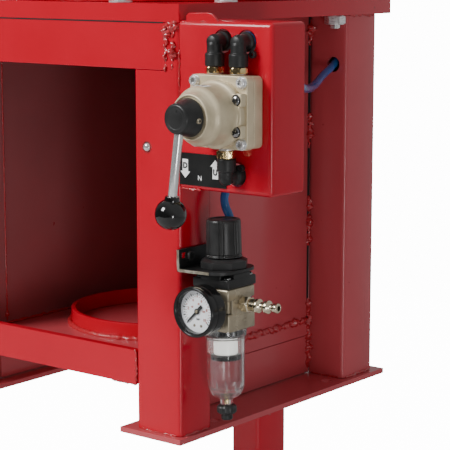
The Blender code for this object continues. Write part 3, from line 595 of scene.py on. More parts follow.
def welds():
    """The beads of one side are listed with x growing outwards, and are laid on both sides."""
    (rail_low, rail_high), low_rail = span("upper_front_rail"), span("lower_front_rail")
    panel, rear = span("side_panel_right"), span("rear_post_right")
    end, inner, edge, wall = rail_high.x, low_rail[1].x, panel[1].x, panel[0].x - 0.3
    front_y, rear_y, rear_x = rear[0].y, rear[1].y, rear[1].x
    post_x, back_y, floor_z = span("front_post_right")[0].x, span("back_panel")[0].y, panel[0].z
    seam_y, foot, head = front_y - 1.6, low_rail[0].z, low_rail[1].z
    beads = [
        # name, points, radius, pitch, roughness
        ("weld_corner", [(end + 3, -0.1, HEIGHT - 2), (HALF - 2.5, -0.2, HEIGHT + 0.5)], 2.3, 1.9, 1.1),
        ("weld_corner_low", [(end + 8, 0.2, HEIGHT - 5), (HALF - 1, -0.1, HEIGHT - 3)], 2.4, 2.1, 1),
        ("weld_low_rail", [(inner, 0.5, foot + 3), (inner, 0.4, head + 1)], 1.3, 2.6, 1),
        ("weld_low_rail_under", [(inner, 1.5, foot + 0.2), (inner - 30, 1.5, foot + 0.2)], 1.2, 2.8, 0.8),
        ("weld_low_rail_top", [(inner, 3, head - 0.5), (inner, 8, head - 2)], 2, 2.6, 0.8),
        ("weld_floor_side", [(edge + 0.2, 44, floor_z + 0.6), (edge + 0.2, 243, floor_z + 0.6)], 3, 3.4, 0.8),
        *[(f"weld_stitch_{name}", [(edge - 0.2, seam_y, low), (edge, seam_y, high)], 3.2, 3.6, 1.1)
          for name, low, high in (("a", 320, 344), ("b", 222, 256), ("c", 127, 176), ("d", 3, 75))],
        ("weld_post_foot", [(post_x + 4, 0.4, 0.4), (HALF - 5, 0.4, 0.4)], 1.1, 2.6, 0.9),
        ("weld_post_foot_side", [(HALF - 0.3, 4, 0.4), (HALF - 0.3, 38, 0.4)], 1.1, 2.6, 0.9),
        ("weld_rear_foot", [(rear_x, front_y + 4, 0.6), (rear_x, rear_y - 4, 0.6)], 1.5, 2.6, 0.8),
        ("weld_rear_top", [(rear_x, front_y + 4, HEIGHT - 0.4), (rear_x, rear_y - 4, HEIGHT - 0.4)], 1.4, 2.6, 0.9),
        ("weld_rear_front_foot", [(edge + 3, front_y, 0.6), (rear_x - 4, front_y, 0.6)], 1, 2.6, 0.6),
        ("seam_inside", [(wall, 51, 56), (wall, 51, rail_low.z)], 0.8, 3, 0.5),
        ("seam_inside_end", [(wall, 49, 60), (wall, 52, 66)], 2.2, 2, 0.8),
        ("weld_inner_floor", [(wall, 48, floor_z + 1), (wall, 240, floor_z + 1)], 1.2, 2.6, 0.8),
        ("weld_back_corner", [(104, back_y - 0.4, 60), (104, back_y - 0.4, 300)], 1.4, 2.6, 0.6),
    ]
    for sign, side in ((1, "right"), (-1, "left")):
        for index, (dx, y, radius, low, high) in enumerate((
            (0.4, 0.1, 1.6, -1, 22), (0.8, -0.4, 2.3, 20, 47), (3.4, 0.6, 2.6, 26, 48), (7.4, 0.3, 1.9, 1, 14),
            (8.8, -0.5, 2.8, 9, 26), (7.8, 0, 2, 23, 40), (9.4, 0.6, 2.6, 32, 48), (5.6, 0.9, 2.8, 38, 49),
        )):
            x, start, stop = sign * (end + dx), rail_low.z + low, min(rail_low.z + high, HEIGHT - 1)
            points = [(x, y, start), (x + sign * 0.8, y - 0.2, (start + stop) / 2), (x - sign * 0.4, y, stop)]
            bead(f"weld_rail_end_{side}_{index}", points, radius, 3.1, rough=1.2)
        for name, points, radius, pitch, rough in beads:
            bead(f"{name}_{side}", [(sign * x, y, z) for x, y, z in points], radius, pitch, rough=rough)
        leg_welds(sign, side)
    low, high = span("control_box")
    for name, points, radius, pitch, rough in (
        ("side", [(HALF + 0.1, -0.1, high.z - 62), (HALF + 0.3, -0.2, high.z - 24)], 0.9, 3.6, 0.9),
        ("foot", [(HALF + 0.2, -0.1, low.z + 2), (HALF + 0.2, -0.1, low.z + 14)], 0.9, 3.4, 0.8),
        ("top", [(HALF + 1, 1.5, high.z - 1.8), (HALF + 30, 2, high.z - 0.6)], 0.9, 3, 0.8),
        ("under", [(HALF + 1, 0.8, low.z + 0.4), (HALF + 22, 0.8, low.z + 0.2)], 1, 2.4, 0.8),
    ):
        bead(f"weld_box_{name}", points, radius, pitch, rough=rough)
    bead("weld_back_floor", [(-104, back_y - 0.6, floor_z + 1), (104, back_y - 0.6, floor_z + 1)], 1.8)


def leg_welds(sign, side):
    """Beads round the top of the leg and round its foot on the foot bar."""
    low, high = span(f"leg_{side}")
    x0, x1 = LEG_X - LEG_TUBE[0] / 2, LEG_X + LEG_TUBE[0] / 2 - 2
    y0, y1 = LEG_Y[side] - LEG_TUBE[1] / 2, LEG_Y[side] + LEG_TUBE[1] / 2
    runs = (
        ((x0 + 4, y0), (x1 - 4, y0)), ((x1, y0 + 4), (x1, y1 - 4)),
        ((x1 - 4, y1), (x0 + 4, y1)), ((x0, y1 - 4), (x0, y0 + 4)),
    )
    for name, z in (("top", high.z - 0.6), ("foot", low.z + FOOT_BAR + 0.4)):
        for index, run in enumerate(runs):
            bead(f"weld_leg_{side}_{name}_{index}", [(sign * x, y, z) for x, y in run], 1.5, 2.8, rough=0.9)


def corner_tab():
    """Small tab of the control box that is welded to the top plate's edge."""
    place = facing((HALF + 0.6, 4, span("control_box")[1].z - 3), "front")
    points = [(6, 0), (41, 0), (34, 8), (29, 9.6), (9, 9.2), (6, 7)]
    belongs(outline("corner_tab", points, 3, "paint", place, 0.6), "control_box")


def foot_caps():
    """Black plastic plugs in the ends of the foot bars."""
    for side in ("right", "left"):
        low, high = span(f"leg_{side}")
        for end, y in (("front", low.y + 0.4), ("rear", high.y - 0.4)):
            corners = (low.x + 3, y - 0.3, low.z + 3), (high.x - 3, y + 0.3, low.z + FOOT_BAR - 3)
            belongs(block(f"foot_cap_{side}_{end}", *corners, "plastic", 0.25), f"leg_{side}")


# Cylinder

def cylinder():
    low, high = span("cylinder_barrel")
    centre = middle("cylinder_barrel")
    outer = (high.x - low.x) / 2
    wall = outer - 1.2
    profile = [
        (outer - 8, high.z), (outer, high.z), (outer, high.z - 8), (wall, high.z - 9), (wall, low.z + 9),
        (outer, low.z + 8), (outer, low.z), (outer - 8, low.z), (outer - 8, high.z),
    ]
    fine("cylinder_barrel", lathe, (centre.x, centre.y, 0), profile, "paint", "up", 0.8, 160)
    refined("cylinder_cover", width=1.2, segments=3)
    for index in range(1, 9):
        tie_rod(f"tie_rod_{index}")
    refined("rod_gland", "brass", 0.4)
    refined("piston", "ground", 0.4)
    low, high = span("piston_rod")
    fine("piston_rod", lathe, (centre.x, centre.y, 0), disc(25, low.z, high.z), "polished", "up", 0.8, 72)
    low, high = span("platen")
    reach, under = (high.x - low.x) / 2, low.z + 1.2
    profile = [(0, high.z), (reach, high.z), (reach, low.z), (reach - 14, low.z), (reach - 16, under), (0, under)]
    fine("platen", lathe, (centre.x, centre.y, 0), profile, "paint", "up", 1.2, 96)


NUT_FLATS, NUT_HEIGHT = 17, 8.4
THREAD_PITCH = 1.5


def tie_rod(node):
    """Rod with a threaded end, and a nut with its washer wherever the CAD rod has a nut."""
    low, high = span(node)
    x, y = middle(node).xy
    thread = [(5 - 0.45 * (i % 2), high.z - 0.7 - THREAD_PITCH / 2 * i) for i in range(17)]
    profile = [(0, high.z), (4.4, high.z), *thread, (5, low.z + 0.6), (4.5, low.z), (0, low.z)]
    pieces = [lathe(node + "_rod", (x, y, 0), profile, "polished", "up", 0, 32)]
    levels = [span("cylinder_cover")[1].z + 0.3]
    if low.z < HEIGHT - 5:
        levels.append(HEIGHT - 0.3 - NUT_HEIGHT)
    for i, level in enumerate(levels):
        nut = hexagon(f"{node}_nut_{i}", (x, y, level), NUT_FLATS, NUT_HEIGHT, "zinc", "up", radians(30))
        pieces.append(nut)
    fine(node, merged, pieces)
    top = span("top_plate")[1].z
    belongs(lathe(node + "_washer", (x, y, 0), sleeve(5, 10, top, top + 1.6), "zinc", "up", 0.3, 40), node)


def ball_catch():
    place, depth = middle("ball_catch"), span("ball_catch")[1].y
    place.y = 0
    profile = [(0, 2.6), (1.6, 2.3), (2.9, 1.5), (3.7, 0.3), (3.9, -1), (3.9, -depth), (0, -depth)]
    fine("ball_catch", lathe, place, profile, "polished", "front", 0.8, 48)
    rim = [(4.7, 0.25), (5.2, 0.25), (5.4, 0), (5, -0.4), (4.6, -0.4), (4.7, 0.25)]
    belongs(lathe("catch_rim", place, rim, "weld", "front", 0, 48), "front_post_right")


# Hand valve, lever and fittings

VALVE = middle("valve_body")
AXIS_Z = middle("lever_hub").z
SCREW_X, SCREW_Z = 23.5, 24


def along_y(edge):
    return abs(edge.verts[0].co.y - edge.verts[1].co.y) > 1e-4


def valve():
    """Square die-cast body in two halves, held by four socket screws."""
    low, high = span("valve_body")
    front = low.y + 3.4
    split = front + 9

    def layer(name, inset, start, end, look, radius, segments):
        corners = (low.x + inset, start, low.z + inset), (high.x - inset, end, high.z - inset)
        return block(name, *corners, look, radius, segments, along_y)

    rear = layer("valve_rear", 0.5, split + 0.4, high.y, "cast", 4, 5)
    face = layer("valve_face", 0, front, split, "cast", 4.5, 6)
    # A near-black layer set in the gap between the two halves paints the seam's shade.
    seam = layer("valve_seam", 0.9, split - 0.5, split + 0.8, "hole", 4, 5)
    stand_for(bevel(face, 1, 3), "valve_body")
    belongs(bevel(rear, 1, 3), "valve_body")
    belongs(seam, "valve_body")
    for dx in (-1, 1):
        for dz in (-1, 1):
            place = (VALVE.x + dx * SCREW_X, front, VALVE.z + dz * SCREW_Z)
            belongs(socket_screw(f"valve_screw_{dx}_{dz}", place, 4.1, 3.3), "valve_body")
    housing(front)


def socket_screw(name, place, radius, height, look="zinc", turn="front"):
    """A socket head cap screw on a thin washer, its hexagon a real pocket."""
    rim = radius * 0.52
    profile = [(rim, height - 2), (rim, height), (radius * 0.86, height), (radius, height - 0.6), (radius, 0), (0, 0)]
    # A zinc screw's socket floor is ground steel. On any other screw it is near-black, which paints the shade at the
    # bottom of the socket.
    inside = "ground" if look == "zinc" else "hole"
    return merged(name, [
        lathe(name + "_washer", place, disc(radius + 0.8, -0.3, 0.6), look, turn, 0.2, 40),
        lathe(name + "_head", place, profile, look, turn, 0.15, 48),
        lathe(name + "_floor", place, disc(rim, height - 2.2, height - 1.6), inside, turn, 0, 6),
    ])


def housing(front):
    """Round housing: a flange, a drum that steps in to a narrower nose, and the nose's rim round the hub."""
    node = "valve_housing"
    flange = -front - 0.5
    profile = [
        (0, 55.6), (16.2, 55.6), (16.6, 56.8), (17.6, 57), (18.3, 56.2), (19, 52.4), (20.4, 49.4), (22.6, 47.6),
        (23.6, 45.6), (23.6, 30.4), (24.4, 28), (26.4, 26.8), (27.3, 25.6), (27.3, flange), (0, flange),
    ]
    x, z = VALVE.x, AXIS_Z
    fine(node, lathe, (x, 0, z), profile, "cast", "front", 1, 112)
    belongs(block("housing_pad", (x + 16, -27.2, z - 7.6), (x + 26, front + 1, z + 7.6), "cast", 0.8, 3), node)
    for sign in (-1, 1):
        z = AXIS_Z + sign * 12.3
        ear = (x + 14, -27.4, z - 5.2), (x + 27.9, front + 1, z + 5.2)
        belongs(block(f"housing_ear_{sign}", *ear, "cast", 1.2, 3), node)
        # A near-black disc behind each ear screw paints the shade of its well.
        well, place = disc(4.7, -1.5, 0.35), (x + 22.6, -27.5, z)
        belongs(lathe(f"ear_well_{sign}", (x + 22.6, -27.2, z), well, "hole", "front", 0.2, 40), node)
        belongs(cross_screw(f"ear_screw_{sign}", place, 4, "dark_screw", spin=0.3 * sign, dome=0.5), node)
    # A near-black disc paints the shade in the pad's hole.
    belongs(lathe("pad_hole", (x + 22.2, -27.1, AXIS_Z), disc(1.1, -0.5, 0.3), "hole", "front", 0.1, 24), node)
    belongs(curved_plate("housing_plate", 23.7, 76, 104, 36.6, 44.6, "print"), node)
    belongs(curved_plate("housing_plate_bar", 23.8, 84, 97, 37.4, 43.8, "ink"), node)


def curved_plate(name, radius, start, end, near, far, look):
    """A thin plate bent round the valve's axis, angles in degrees from +X towards +Z."""
    shape = bmesh.new()
    steps = 10
    rows = []
    for reach, depth in ((radius, near), (radius, far), (radius + 0.25, far), (radius + 0.25, near)):
        angles = [radians(start + (end - start) * i / steps) for i in range(steps + 1)]
        spots = [at(VALVE.x + reach * cos(a), -depth, AXIS_Z + reach * sin(a)) for a in angles]
        rows.append([shape.verts.new(spot) for spot in spots])
    for a, b in zip(rows, rows[1:] + rows[:1]):
        for i in range(steps):
            shape.faces.new((a[i], a[i + 1], b[i + 1], b[i]))
    for i in (0, steps):
        shape.faces.new([row[i] for row in rows])
    return finish_mesh(name, shape, look)


BALL_DROP = 75.7
BALL_RADIUS = 12.5


def lever():
    low, high = span("lever_hub")
    x, z, front, back = VALVE.x, AXIS_Z, -low.y, -high.y
    profile = [
        (0, front - 0.35), (7.6, front - 0.35), (8.6, front - 0.05), (10.6, front - 0.1), (11.9, front - 1.4),
        (12.5, front - 5), (15.2, back + 0.8), (15.2, back), (0, back),
    ]
    fine("lever_hub", lathe, (x, 0, z), profile, "knob", "front", 1, 96)
    mark, place = [(-1.1, 0), (1.1, 0), (0, 2)], (x + 1.2, -front + 0.3, z + 5.2)
    belongs(flat("hub_mark", mark, place, "hole", 0.2), "lever_hub")
    screw, place = [(0, 1), (1.9, 1), (2.2, 0.6), (2.2, -1.5), (0, -1.5)], (x + 14.2, -back - 4.6, z - 1.6)
    belongs(lathe("hub_screw", place, screw, "nickel", "right", 0.3, 32), "lever_hub")
    place = (place[0] + 0.95, *place[1:])
    # A near-black hexagon paints the shade in the grub screw's socket.
    belongs(lathe("hub_socket", place, disc(1.1, -0.5, 0.15), "hole", "right", 0, 6), "lever_hub")
    place = (x, middle("lever_rod").y, z)
    lean = Matrix.Rotation(lever_angle(), 4, "Y")
    rod = disc(3.6, 13 - BALL_DROP, -9)
    fine("lever_rod", lathe, place, rod, "polished", "up", 0.2, 56, lean=lean)
    neck = [(r, h - BALL_DROP) for r, h in ((3.7, 14.6), (5.6, 14.2), (6.2, 10.6), (3.7, 10.6), (3.7, 14.6))]
    belongs(lathe("ball_neck", place, neck, "gloss", "up", 0.4, 56, lean=lean), "lever_ball")
    arc = []
    for angle in range(90, -91, -5):
        across, up = cos(radians(angle)), sin(radians(angle))
        arc.append((BALL_RADIUS * across, BALL_RADIUS * up - BALL_DROP))
    fine("lever_ball", lathe, place, arc, "gloss", "up", 0, 72, lean=lean)


def lever_angle():
    """How far the lever leans at rest, read from its ball's place under the hub's axis."""
    ball = middle("lever_ball")
    return atan2(VALVE.x - ball.x, AXIS_Z - ball.z)


def fittings():
    for name in ("down", "up", "supply"):
        node = f"nipple_{name}"
        low, high = span(node)
        x, y = middle(node).xy
        away, turn, washer, start = (-1, "down", 2, high.z) if name == "supply" else (1, "up", 0.9, low.z)
        collar = lathe(f"{node}_collar", (x, y, start), disc(6.2, 0, washer), "zinc", turn, 0.3, 48)
        tall, hex_start = high.z - low.z - washer, (x, y, start + away * washer)
        nut = hexagon(f"{node}_hex", hex_start, 14, tall, "brass", turn, 0.3, 0.6)
        fine(node, merged, [collar, nut])
        elbow(name, x, y, turn, away)


def elbow(name, x, y, turn, away):
    """Push-in elbow: a collar on the nipple, a domed corner and an arm that turns back into the box."""
    node = f"elbow_{name}"
    low, high = span(node)
    start, end = (low.z, high.z) if away > 0 else (high.z, low.z)
    corner_z = end - away * 8
    tip = abs(end - start) - (4.2 if away > 0 else 0.2)
    profile = [
        (0, tip), (3.2, tip - 0.6), (5.3, tip - 2.8), (6.2, tip - 6.2), (6.2, 10.9), (7.4, 10.4), (7.7, 9.4),
        (7.7, 1), (7.2, 0), (0, 0),
    ]
    arm = [(0, 17), (5, 17), (7.9, 16.6), (8, 8.6), (6.6, 7.6), (6.2, 6), (6.2, -1), (5, -4.4), (0, -5.8)]
    swing = Matrix.Rotation(radians(-12 if name == "supply" else 0), 4, "Z")
    pieces = [
        lathe(f"{node}_barrel", (x, y, start), profile, "plastic", turn, 0.7, 64),
        lathe(f"{node}_arm", (x, y, corner_z), arm, "plastic", "back", 0.8, 64, lean=swing),
    ]
    if name != "down":
        out, down = (8.6, 9.4) if away > 0 else (9.4, 6.4)
        place = (x + out, -3.4, corner_z - away * down)
        pieces.append(lathe(f"{node}_eye", place, sleeve(1.5, 3, -1.5, 1.5), "plastic", "front", 0.3, 32))
    if name == "up":
        mark, place = sleeve(6, 8, 10.7, 11.9), (x, y, corner_z + 0.15)
        pieces.append(lathe("elbow_up_mark", place, mark, "hose", "back", 0.2, 48, lean=swing))
    fine(node, merged, pieces)


def flat(name, points, place, look="print", depth=0.12):
    return outline(name, points, depth, look, facing(place, "front"))


def letter(name, text, place, size, look, bold=0.12, node="position_label"):
    """A raised print of generic letters or figures, 0.1 mm thick."""
    data = bpy.data.curves.new(name, "FONT")
    data.body, data.size, data.extrude, data.offset = text, size * MM, 0.05 * MM, bold * MM
    data.align_x = data.align_y = "CENTER"
    data.resolution_u = 3
    data.materials.append(LOOKS[look])
    drawn = linked(name, data)
    drawn.matrix_world = facing(place, "front")
    graph = bpy.context.evaluated_depsgraph_get()
    solid = linked(name + "_mesh", bpy.data.meshes.new_from_object(drawn.evaluated_get(graph)))
    solid.matrix_world = drawn.matrix_world.copy()
    bpy.data.objects.remove(drawn)
    return belongs(solid, node)


def position_label():
    """Black film with a down arrow D, a neutral N and an up arrow U."""
    node = "position_label"
    low, high = span(node)
    fine(node, block, low, high, "label", 0.15, 1)
    arrow = [(0, -8.2), (5.2, -2.6), (2.9, -2.6), (2.9, 7.4), (-2.9, 7.4), (-2.9, -2.6), (-5.2, -2.6)]
    face, z = low.y - 0.02, middle(node).z
    down, up = (HALF + 7, face, z + 0.6), (HALF + 38.6, face, z + 1.2)
    belongs(flat("arrow_down", arrow, down), node)
    belongs(flat("arrow_up", [(x, -z) for x, z in reversed(arrow)], up), node)
    letter("letter_d", "D", (down[0], face - 0.2, down[2] + 2), 6.4, "ink", 0.34)
    letter("letter_u", "U", (up[0], face - 0.2, up[2] - 2.2), 6.4, "ink", 0.34)
    letter("letter_n", "N", (HALF + 22.4, face - 0.14, down[2] - 7.4), 5.6, "print", 0.03)


def tubes():
    for node in ("cylinder_tube", "supply_tube"):
        step = refined(node, "hose", 0).modifiers.new("round", "SUBSURF")
        step.levels = step.render_levels = 2


# Filter-regulator, built upright about its own axis

REG = middle("regulator_knob")
AXIS = (REG.x, REG.y, 0)
REG_HALF = 18
BODY_LOW, BODY_HIGH = 96.2, 132.2
BONNET_LOW, BONNET_HIGH = 132.5, 144.8
PLATE_LOW, PLATE_HIGH = 145.1, 147.6
KNOB_LOW, KNOB_HIGH = 156.6, 188.5
PLUG_Z = 118.5
GAUGE_Z = 116


def about_axis(low, high, dx, dy):
    """The corners of a block that is centred on the regulator's axis."""
    return (REG.x - dx, REG.y - dy, low), (REG.x + dx, REG.y + dy, high)


def regulator_bracket():
    """Black plate with its sheared edges left bare, a slot and a socket screw."""
    node = "regulator_bracket"
    refined(node, "bracket", 0.25)
    left, front, thick, rise = HALF + 0.3, REG.y - 28, PLATE_HIGH - PLATE_LOW, 163.3 - PLATE_LOW
    bend = [radians(angle) for angle in range(180, 271, 15)]
    reach = REG.x + 6 - left
    points = [
        (0, rise), *[(thick + thick * cos(angle), thick + thick * sin(angle)) for angle in bend],
        (reach, 0), (reach, thick), (thick + 0.6, thick), (thick, thick + 0.6), (thick, rise),
    ]
    belongs(flat("bracket_edge", points, (left, front + 0.12, PLATE_LOW), "bare", 0.3), node)
    wall = left + thick
    slot = (wall - 0.1, front + 3.6, 156), (wall + 0.12, front + 8.4, 160.6)
    belongs(block("bracket_slot", *slot, "paint", 0.05, 1), node)
    belongs(socket_screw("bracket_screw", (wall + 0.2, REG.y - 16, 157), 4.2, 4, "knob", "right"), node)


def knob():
    """Round knob with a dished top and a few narrow grooves."""
    grooves = [radians(a) for a in (-118, -104, -66, -52, -14, 0, 38, 52, 90, 104, 142, 156)]

    def wave(angle, radius):
        if radius < 13.9:
            return 1
        near = min(abs((angle - g + pi) % (2 * pi) - pi) for g in grooves)
        return 1 - 0.045 * max(0, 1 - near / 0.045)

    rise = KNOB_HIGH - KNOB_LOW
    profile = [
        (0, rise - 1), (10.6, rise - 1), (11.2, rise), (12.8, rise), (14, rise - 0.8), (14.5, rise - 2.6),
        (15, 3.2), (14.4, 2.6), (14.4, 1.8), (15.2, 1.2), (15.2, 0.2), (14.6, 0), (0, 0),
    ]
    fine("regulator_knob", lathe, (REG.x, REG.y, KNOB_LOW), profile, "knob", "up", 0.5, 240, wave)


def regulator():
    def nut_wave(angle, radius):
        local = (angle - 0.2) % radians(45) - radians(22.5)
        return min(1, 18.9 / cos(local) / radius)

    nut = [(0, 8), (15.6, 8), (16.6, 7.6), (20.4, 5.6), (20.4, 0.6), (20, 0), (0, 0)]
    fine("panel_nut", lathe, (REG.x, REG.y, PLATE_HIGH + 0.3), nut, "knob", "up", 0.3, 160, nut_wave)
    node, shelf = "regulator_bonnet", BONNET_HIGH - 4
    stand_for(block("bonnet_fine", *about_axis(BONNET_LOW, shelf, 19, 19), "plastic", 1.4, 3), node)
    for name, dx, dy in (("x", 10.8, 19), ("y", 19, 10.8)):
        corners = about_axis(BONNET_HIGH - 6, BONNET_HIGH, dx, dy)
        belongs(block(f"bonnet_upper_{name}", *corners, "plastic", 1, 3), node)
    for index, (dx, dy) in enumerate(((-1, -1), (1, -1), (1, 1), (-1, 1))):
        place = (REG.x + dx * 14.6, REG.y + dy * 14.6, shelf)
        belongs(cross_screw(f"bonnet_screw_{index}", place, 3.2, "dark_screw", "up", 0.5 + index, 0.6), node)
    regulator_body()
    inlet_plug()
    gauge()
    bowl()


def regulator_body():
    """Plated body with a pocket in each upright corner and low ribs round its ports."""
    node, side, back = "regulator_body", REG.x + REG_HALF, REG.y + REG_HALF
    low, high = BODY_LOW, BODY_HIGH
    inset = REG_HALF - 2
    fine(node, block, *about_axis(low, high, inset, inset), "nickel", 1, 3)
    for name, bottom, top in (("low", low, low + 15.4), ("high", high - 10, high)):
        corners = about_axis(bottom, top, REG_HALF, REG_HALF)
        belongs(block(f"regulator_jacket_{name}", *corners, "nickel", 1.5, 4), node)
    for name, dx, dy in (("x", 13, REG_HALF), ("y", REG_HALF, 13)):
        corners = about_axis(low + 14, high - 9, dx, dy)
        belongs(block(f"regulator_wall_{name}", *corners, "nickel", 1, 3), node)
    # A near-black band where the lower jacket meets the corner pockets paints the shade in that crease.
    corners = about_axis(low + 15.2, low + 15.9, REG_HALF - 1.6, REG_HALF - 1.6)
    belongs(block("pocket_line", *corners, "hole", 0.1, 1), node)
    for index, (dy, rise, long) in enumerate(((-5, 26, 12), (5, 29, 10), (3, 12.4, 14))):
        y, z = REG.y + dy, low + rise
        corners = (side - 0.4, y - long / 2, z), (side + 0.35, y + long / 2, z + 1.1)
        belongs(block(f"port_rib_{index}", *corners, "nickel", 0.3, 2), node)
    outlet = [(0, 9.4), (6.8, 9.4), (6.8, 3), (7.8, 2.6), (7.8, 0), (0, 0)]
    belongs(lathe("outlet_fitting", (REG.x, back - 0.5, PLUG_Z), outlet, "plastic", "back", 0.6, 48), node)
    arrow = [(-3, -0.8), (1, -0.8), (1, -2), (3.6, 0), (1, 2), (1, 0.8), (-3, 0.8)]
    turned = facing((side - 0.1, REG.y + 4, low + 8), "right") @ Matrix.Rotation(radians(90), 4, "Z")
    belongs(outline("flow_arrow", arrow, 0.35, "nickel", turned), node)


def inlet_plug():
    """Quick-connect plug: hexagon, ribbed stem and open tip."""
    place = (REG.x + REG_HALF + 0.3, REG.y, PLUG_Z)
    profile = [
        (2.1, 34), (2.1, 38), (3, 38), (3.9, 37.3), (4.2, 36.4), (4.2, 33.8), (3.1, 32.6), (3, 30.2),
        (4.4, 29), (5.6, 27.8), (5.6, 25.2), (4.4, 24), (3.6, 22.8), (3.6, 20.4), (5, 19.2), (6, 18),
        (6, 15.8), (5.2, 14.8), (5.2, 9.4), (4.6, 9), (4.6, 1.8), (5.8, 1.6), (5.8, 0), (0, 0),
    ]
    fine("inlet_plug", merged, [
        lathe("inlet_body", place, profile, "plated", "right", 0.35, 64),
        hexagon("inlet_hex", (place[0] + 1.6, *place[1:]), 12.4, 7.6, "plated", "right", 0.3, 0.9),
        # The near-black disc in the open tip paints the shade inside the bore.
        lathe("inlet_mouth", place, disc(2.3, 33, 34.4), "hole", "right", 0, 32),
    ])


NEEDLE_REST = radians(133)


def gauge():
    node, mid = "gauge_case", Vector((REG.x, 0, GAUGE_Z))
    front, back = 19.5, -4.7
    floor = front - 7
    case = [
        (0, floor), (17.7, floor), (17.8, front - 1.8), (18.4, front - 0.7), (19.2, front), (20.3, front - 0.1),
        (21, front - 0.8), (21.2, front - 2.2), (21.2, front - 6.6), (20.5, front - 7.2), (20.5, front - 7.8),
        (21, front - 8.4), (21, back + 7), (19, back + 3.6), (7, back + 3.2), (6, back), (0, back),
    ]
    fine(node, lathe, mid, case, "case", "front", 0.35, 120)
    belongs(lathe("gauge_dial", mid, disc(17.6, floor - 0.4, floor + 0.5), "dial", "front", 0, 96), node)
    face = -(floor + 0.52)
    print_y = face - 0.06
    ticks(mid, face)
    for name, radius, size, bold, marks in (
        ("bar", 9.9, 3.1, 0.14, (("0", 0), ("2", 0.2), ("4", 0.4), ("6", 0.6), ("8", 0.8), ("10", 1))),
        ("inner", 6.4, 2.1, 0.10, (("0", 0), ("40", 0.276), ("80", 0.552), ("120", 0.828))),
    ):
        for text, share in marks:
            angle = dial_angle(share)
            place = (mid.x + radius * sin(angle), print_y, mid.z + radius * cos(angle))
            letter(f"dial_{name}_{text}", text, place, size, "red_ink", bold, node)
    letter("dial_unit", "bar", (mid.x + 0.6, print_y, mid.z - 6.4), 2.8, "ink", 0.12, node)
    pin = [(0, 0.5), (1.1, 0.4), (1.3, 0), (0, 0)]
    for sign in (-1, 1):
        place = (mid.x + sign * 3.5, face, mid.z - 12)
        belongs(lathe(f"dial_pin_{sign}", place, pin, "nickel", "front", 0.1, 24), node)
    needle(mid, floor)
    belongs(lathe("gauge_window", mid, disc(17.8, front - 2.6, front - 1.5), "glass", "front", 0.1, 96), node)


def dial_angle(share):
    """Clockwise from straight up, for a share of the scale, zero at the lower left."""
    return radians(-133 + 266 * share)


def ticks(mid, face):
    """Black outer scale and red inner scale, each one mesh of small bars."""
    for name, look, count, long_every, inner, short, long in (
        ("dial_ticks_black", "ink", 30, 3, 13.2, 1.5, 2.4),
        ("dial_ticks_red", "red_ink", 24, 6, 11.7, 0.9, 1.3),
    ):
        bars = []
        for i in range(count + 1):
            half, length = (0.5, long) if i % long_every == 0 else (0.28, short)
            points = [(-half, inner), (half, inner), (half, inner + length), (-half, inner + length)]
            turned = facing((mid.x, face, mid.z), "front") @ Matrix.Rotation(-dial_angle(i / count), 4, "Z")
            bars.append(outline(f"{name}_{i}", points, 0.06, look, turned))
        belongs(merged(name, bars), "gauge_case")


def needle(mid, floor):
    """Pointer at the zero stop, with a wide tail and a small hub."""
    turned = facing((mid.x, -floor - 1.3, mid.z), "front") @ Matrix.Rotation(NEEDLE_REST, 4, "Z")
    points = [(-1.5, -7), (1.5, -7), (1.4, -2), (1.15, 0), (0.6, 13.6), (-0.6, 13.6), (-1.15, 0), (-1.4, -2)]
    hub, pin = [(0, 0.9), (2.2, 0.9), (2.5, 0.5), (2.5, 0), (0, 0)], [(0, 0.5), (1.3, 0.4), (1.5, 0), (0, 0)]
    fine("gauge_needle", merged, [
        outline("needle_hand", points, 0.35, "ink", turned),
        lathe("needle_hub", (mid.x, -floor - 1.2, mid.z), hub, "ink", "front", 0.2, 40),
        lathe("needle_pin", (mid.x, -floor - 2, mid.z), pin, "nickel", "front", 0.1, 32),
    ])


def studs(name, count, phase, radius, z, half, below, above, edge):
    """Small upright blocks of the bowl's own plastic, spaced round its axis."""
    for i in range(count):
        angle = 2 * pi * (i + phase) / count
        spot = Vector((REG.x + radius * cos(angle), REG.y + radius * sin(angle), z))
        corners = spot - Vector((half, half, below)), spot + Vector((half, half, above))
        belongs(block(f"{name}_{i}", *corners, "bowl", edge, 2), "filter_bowl")


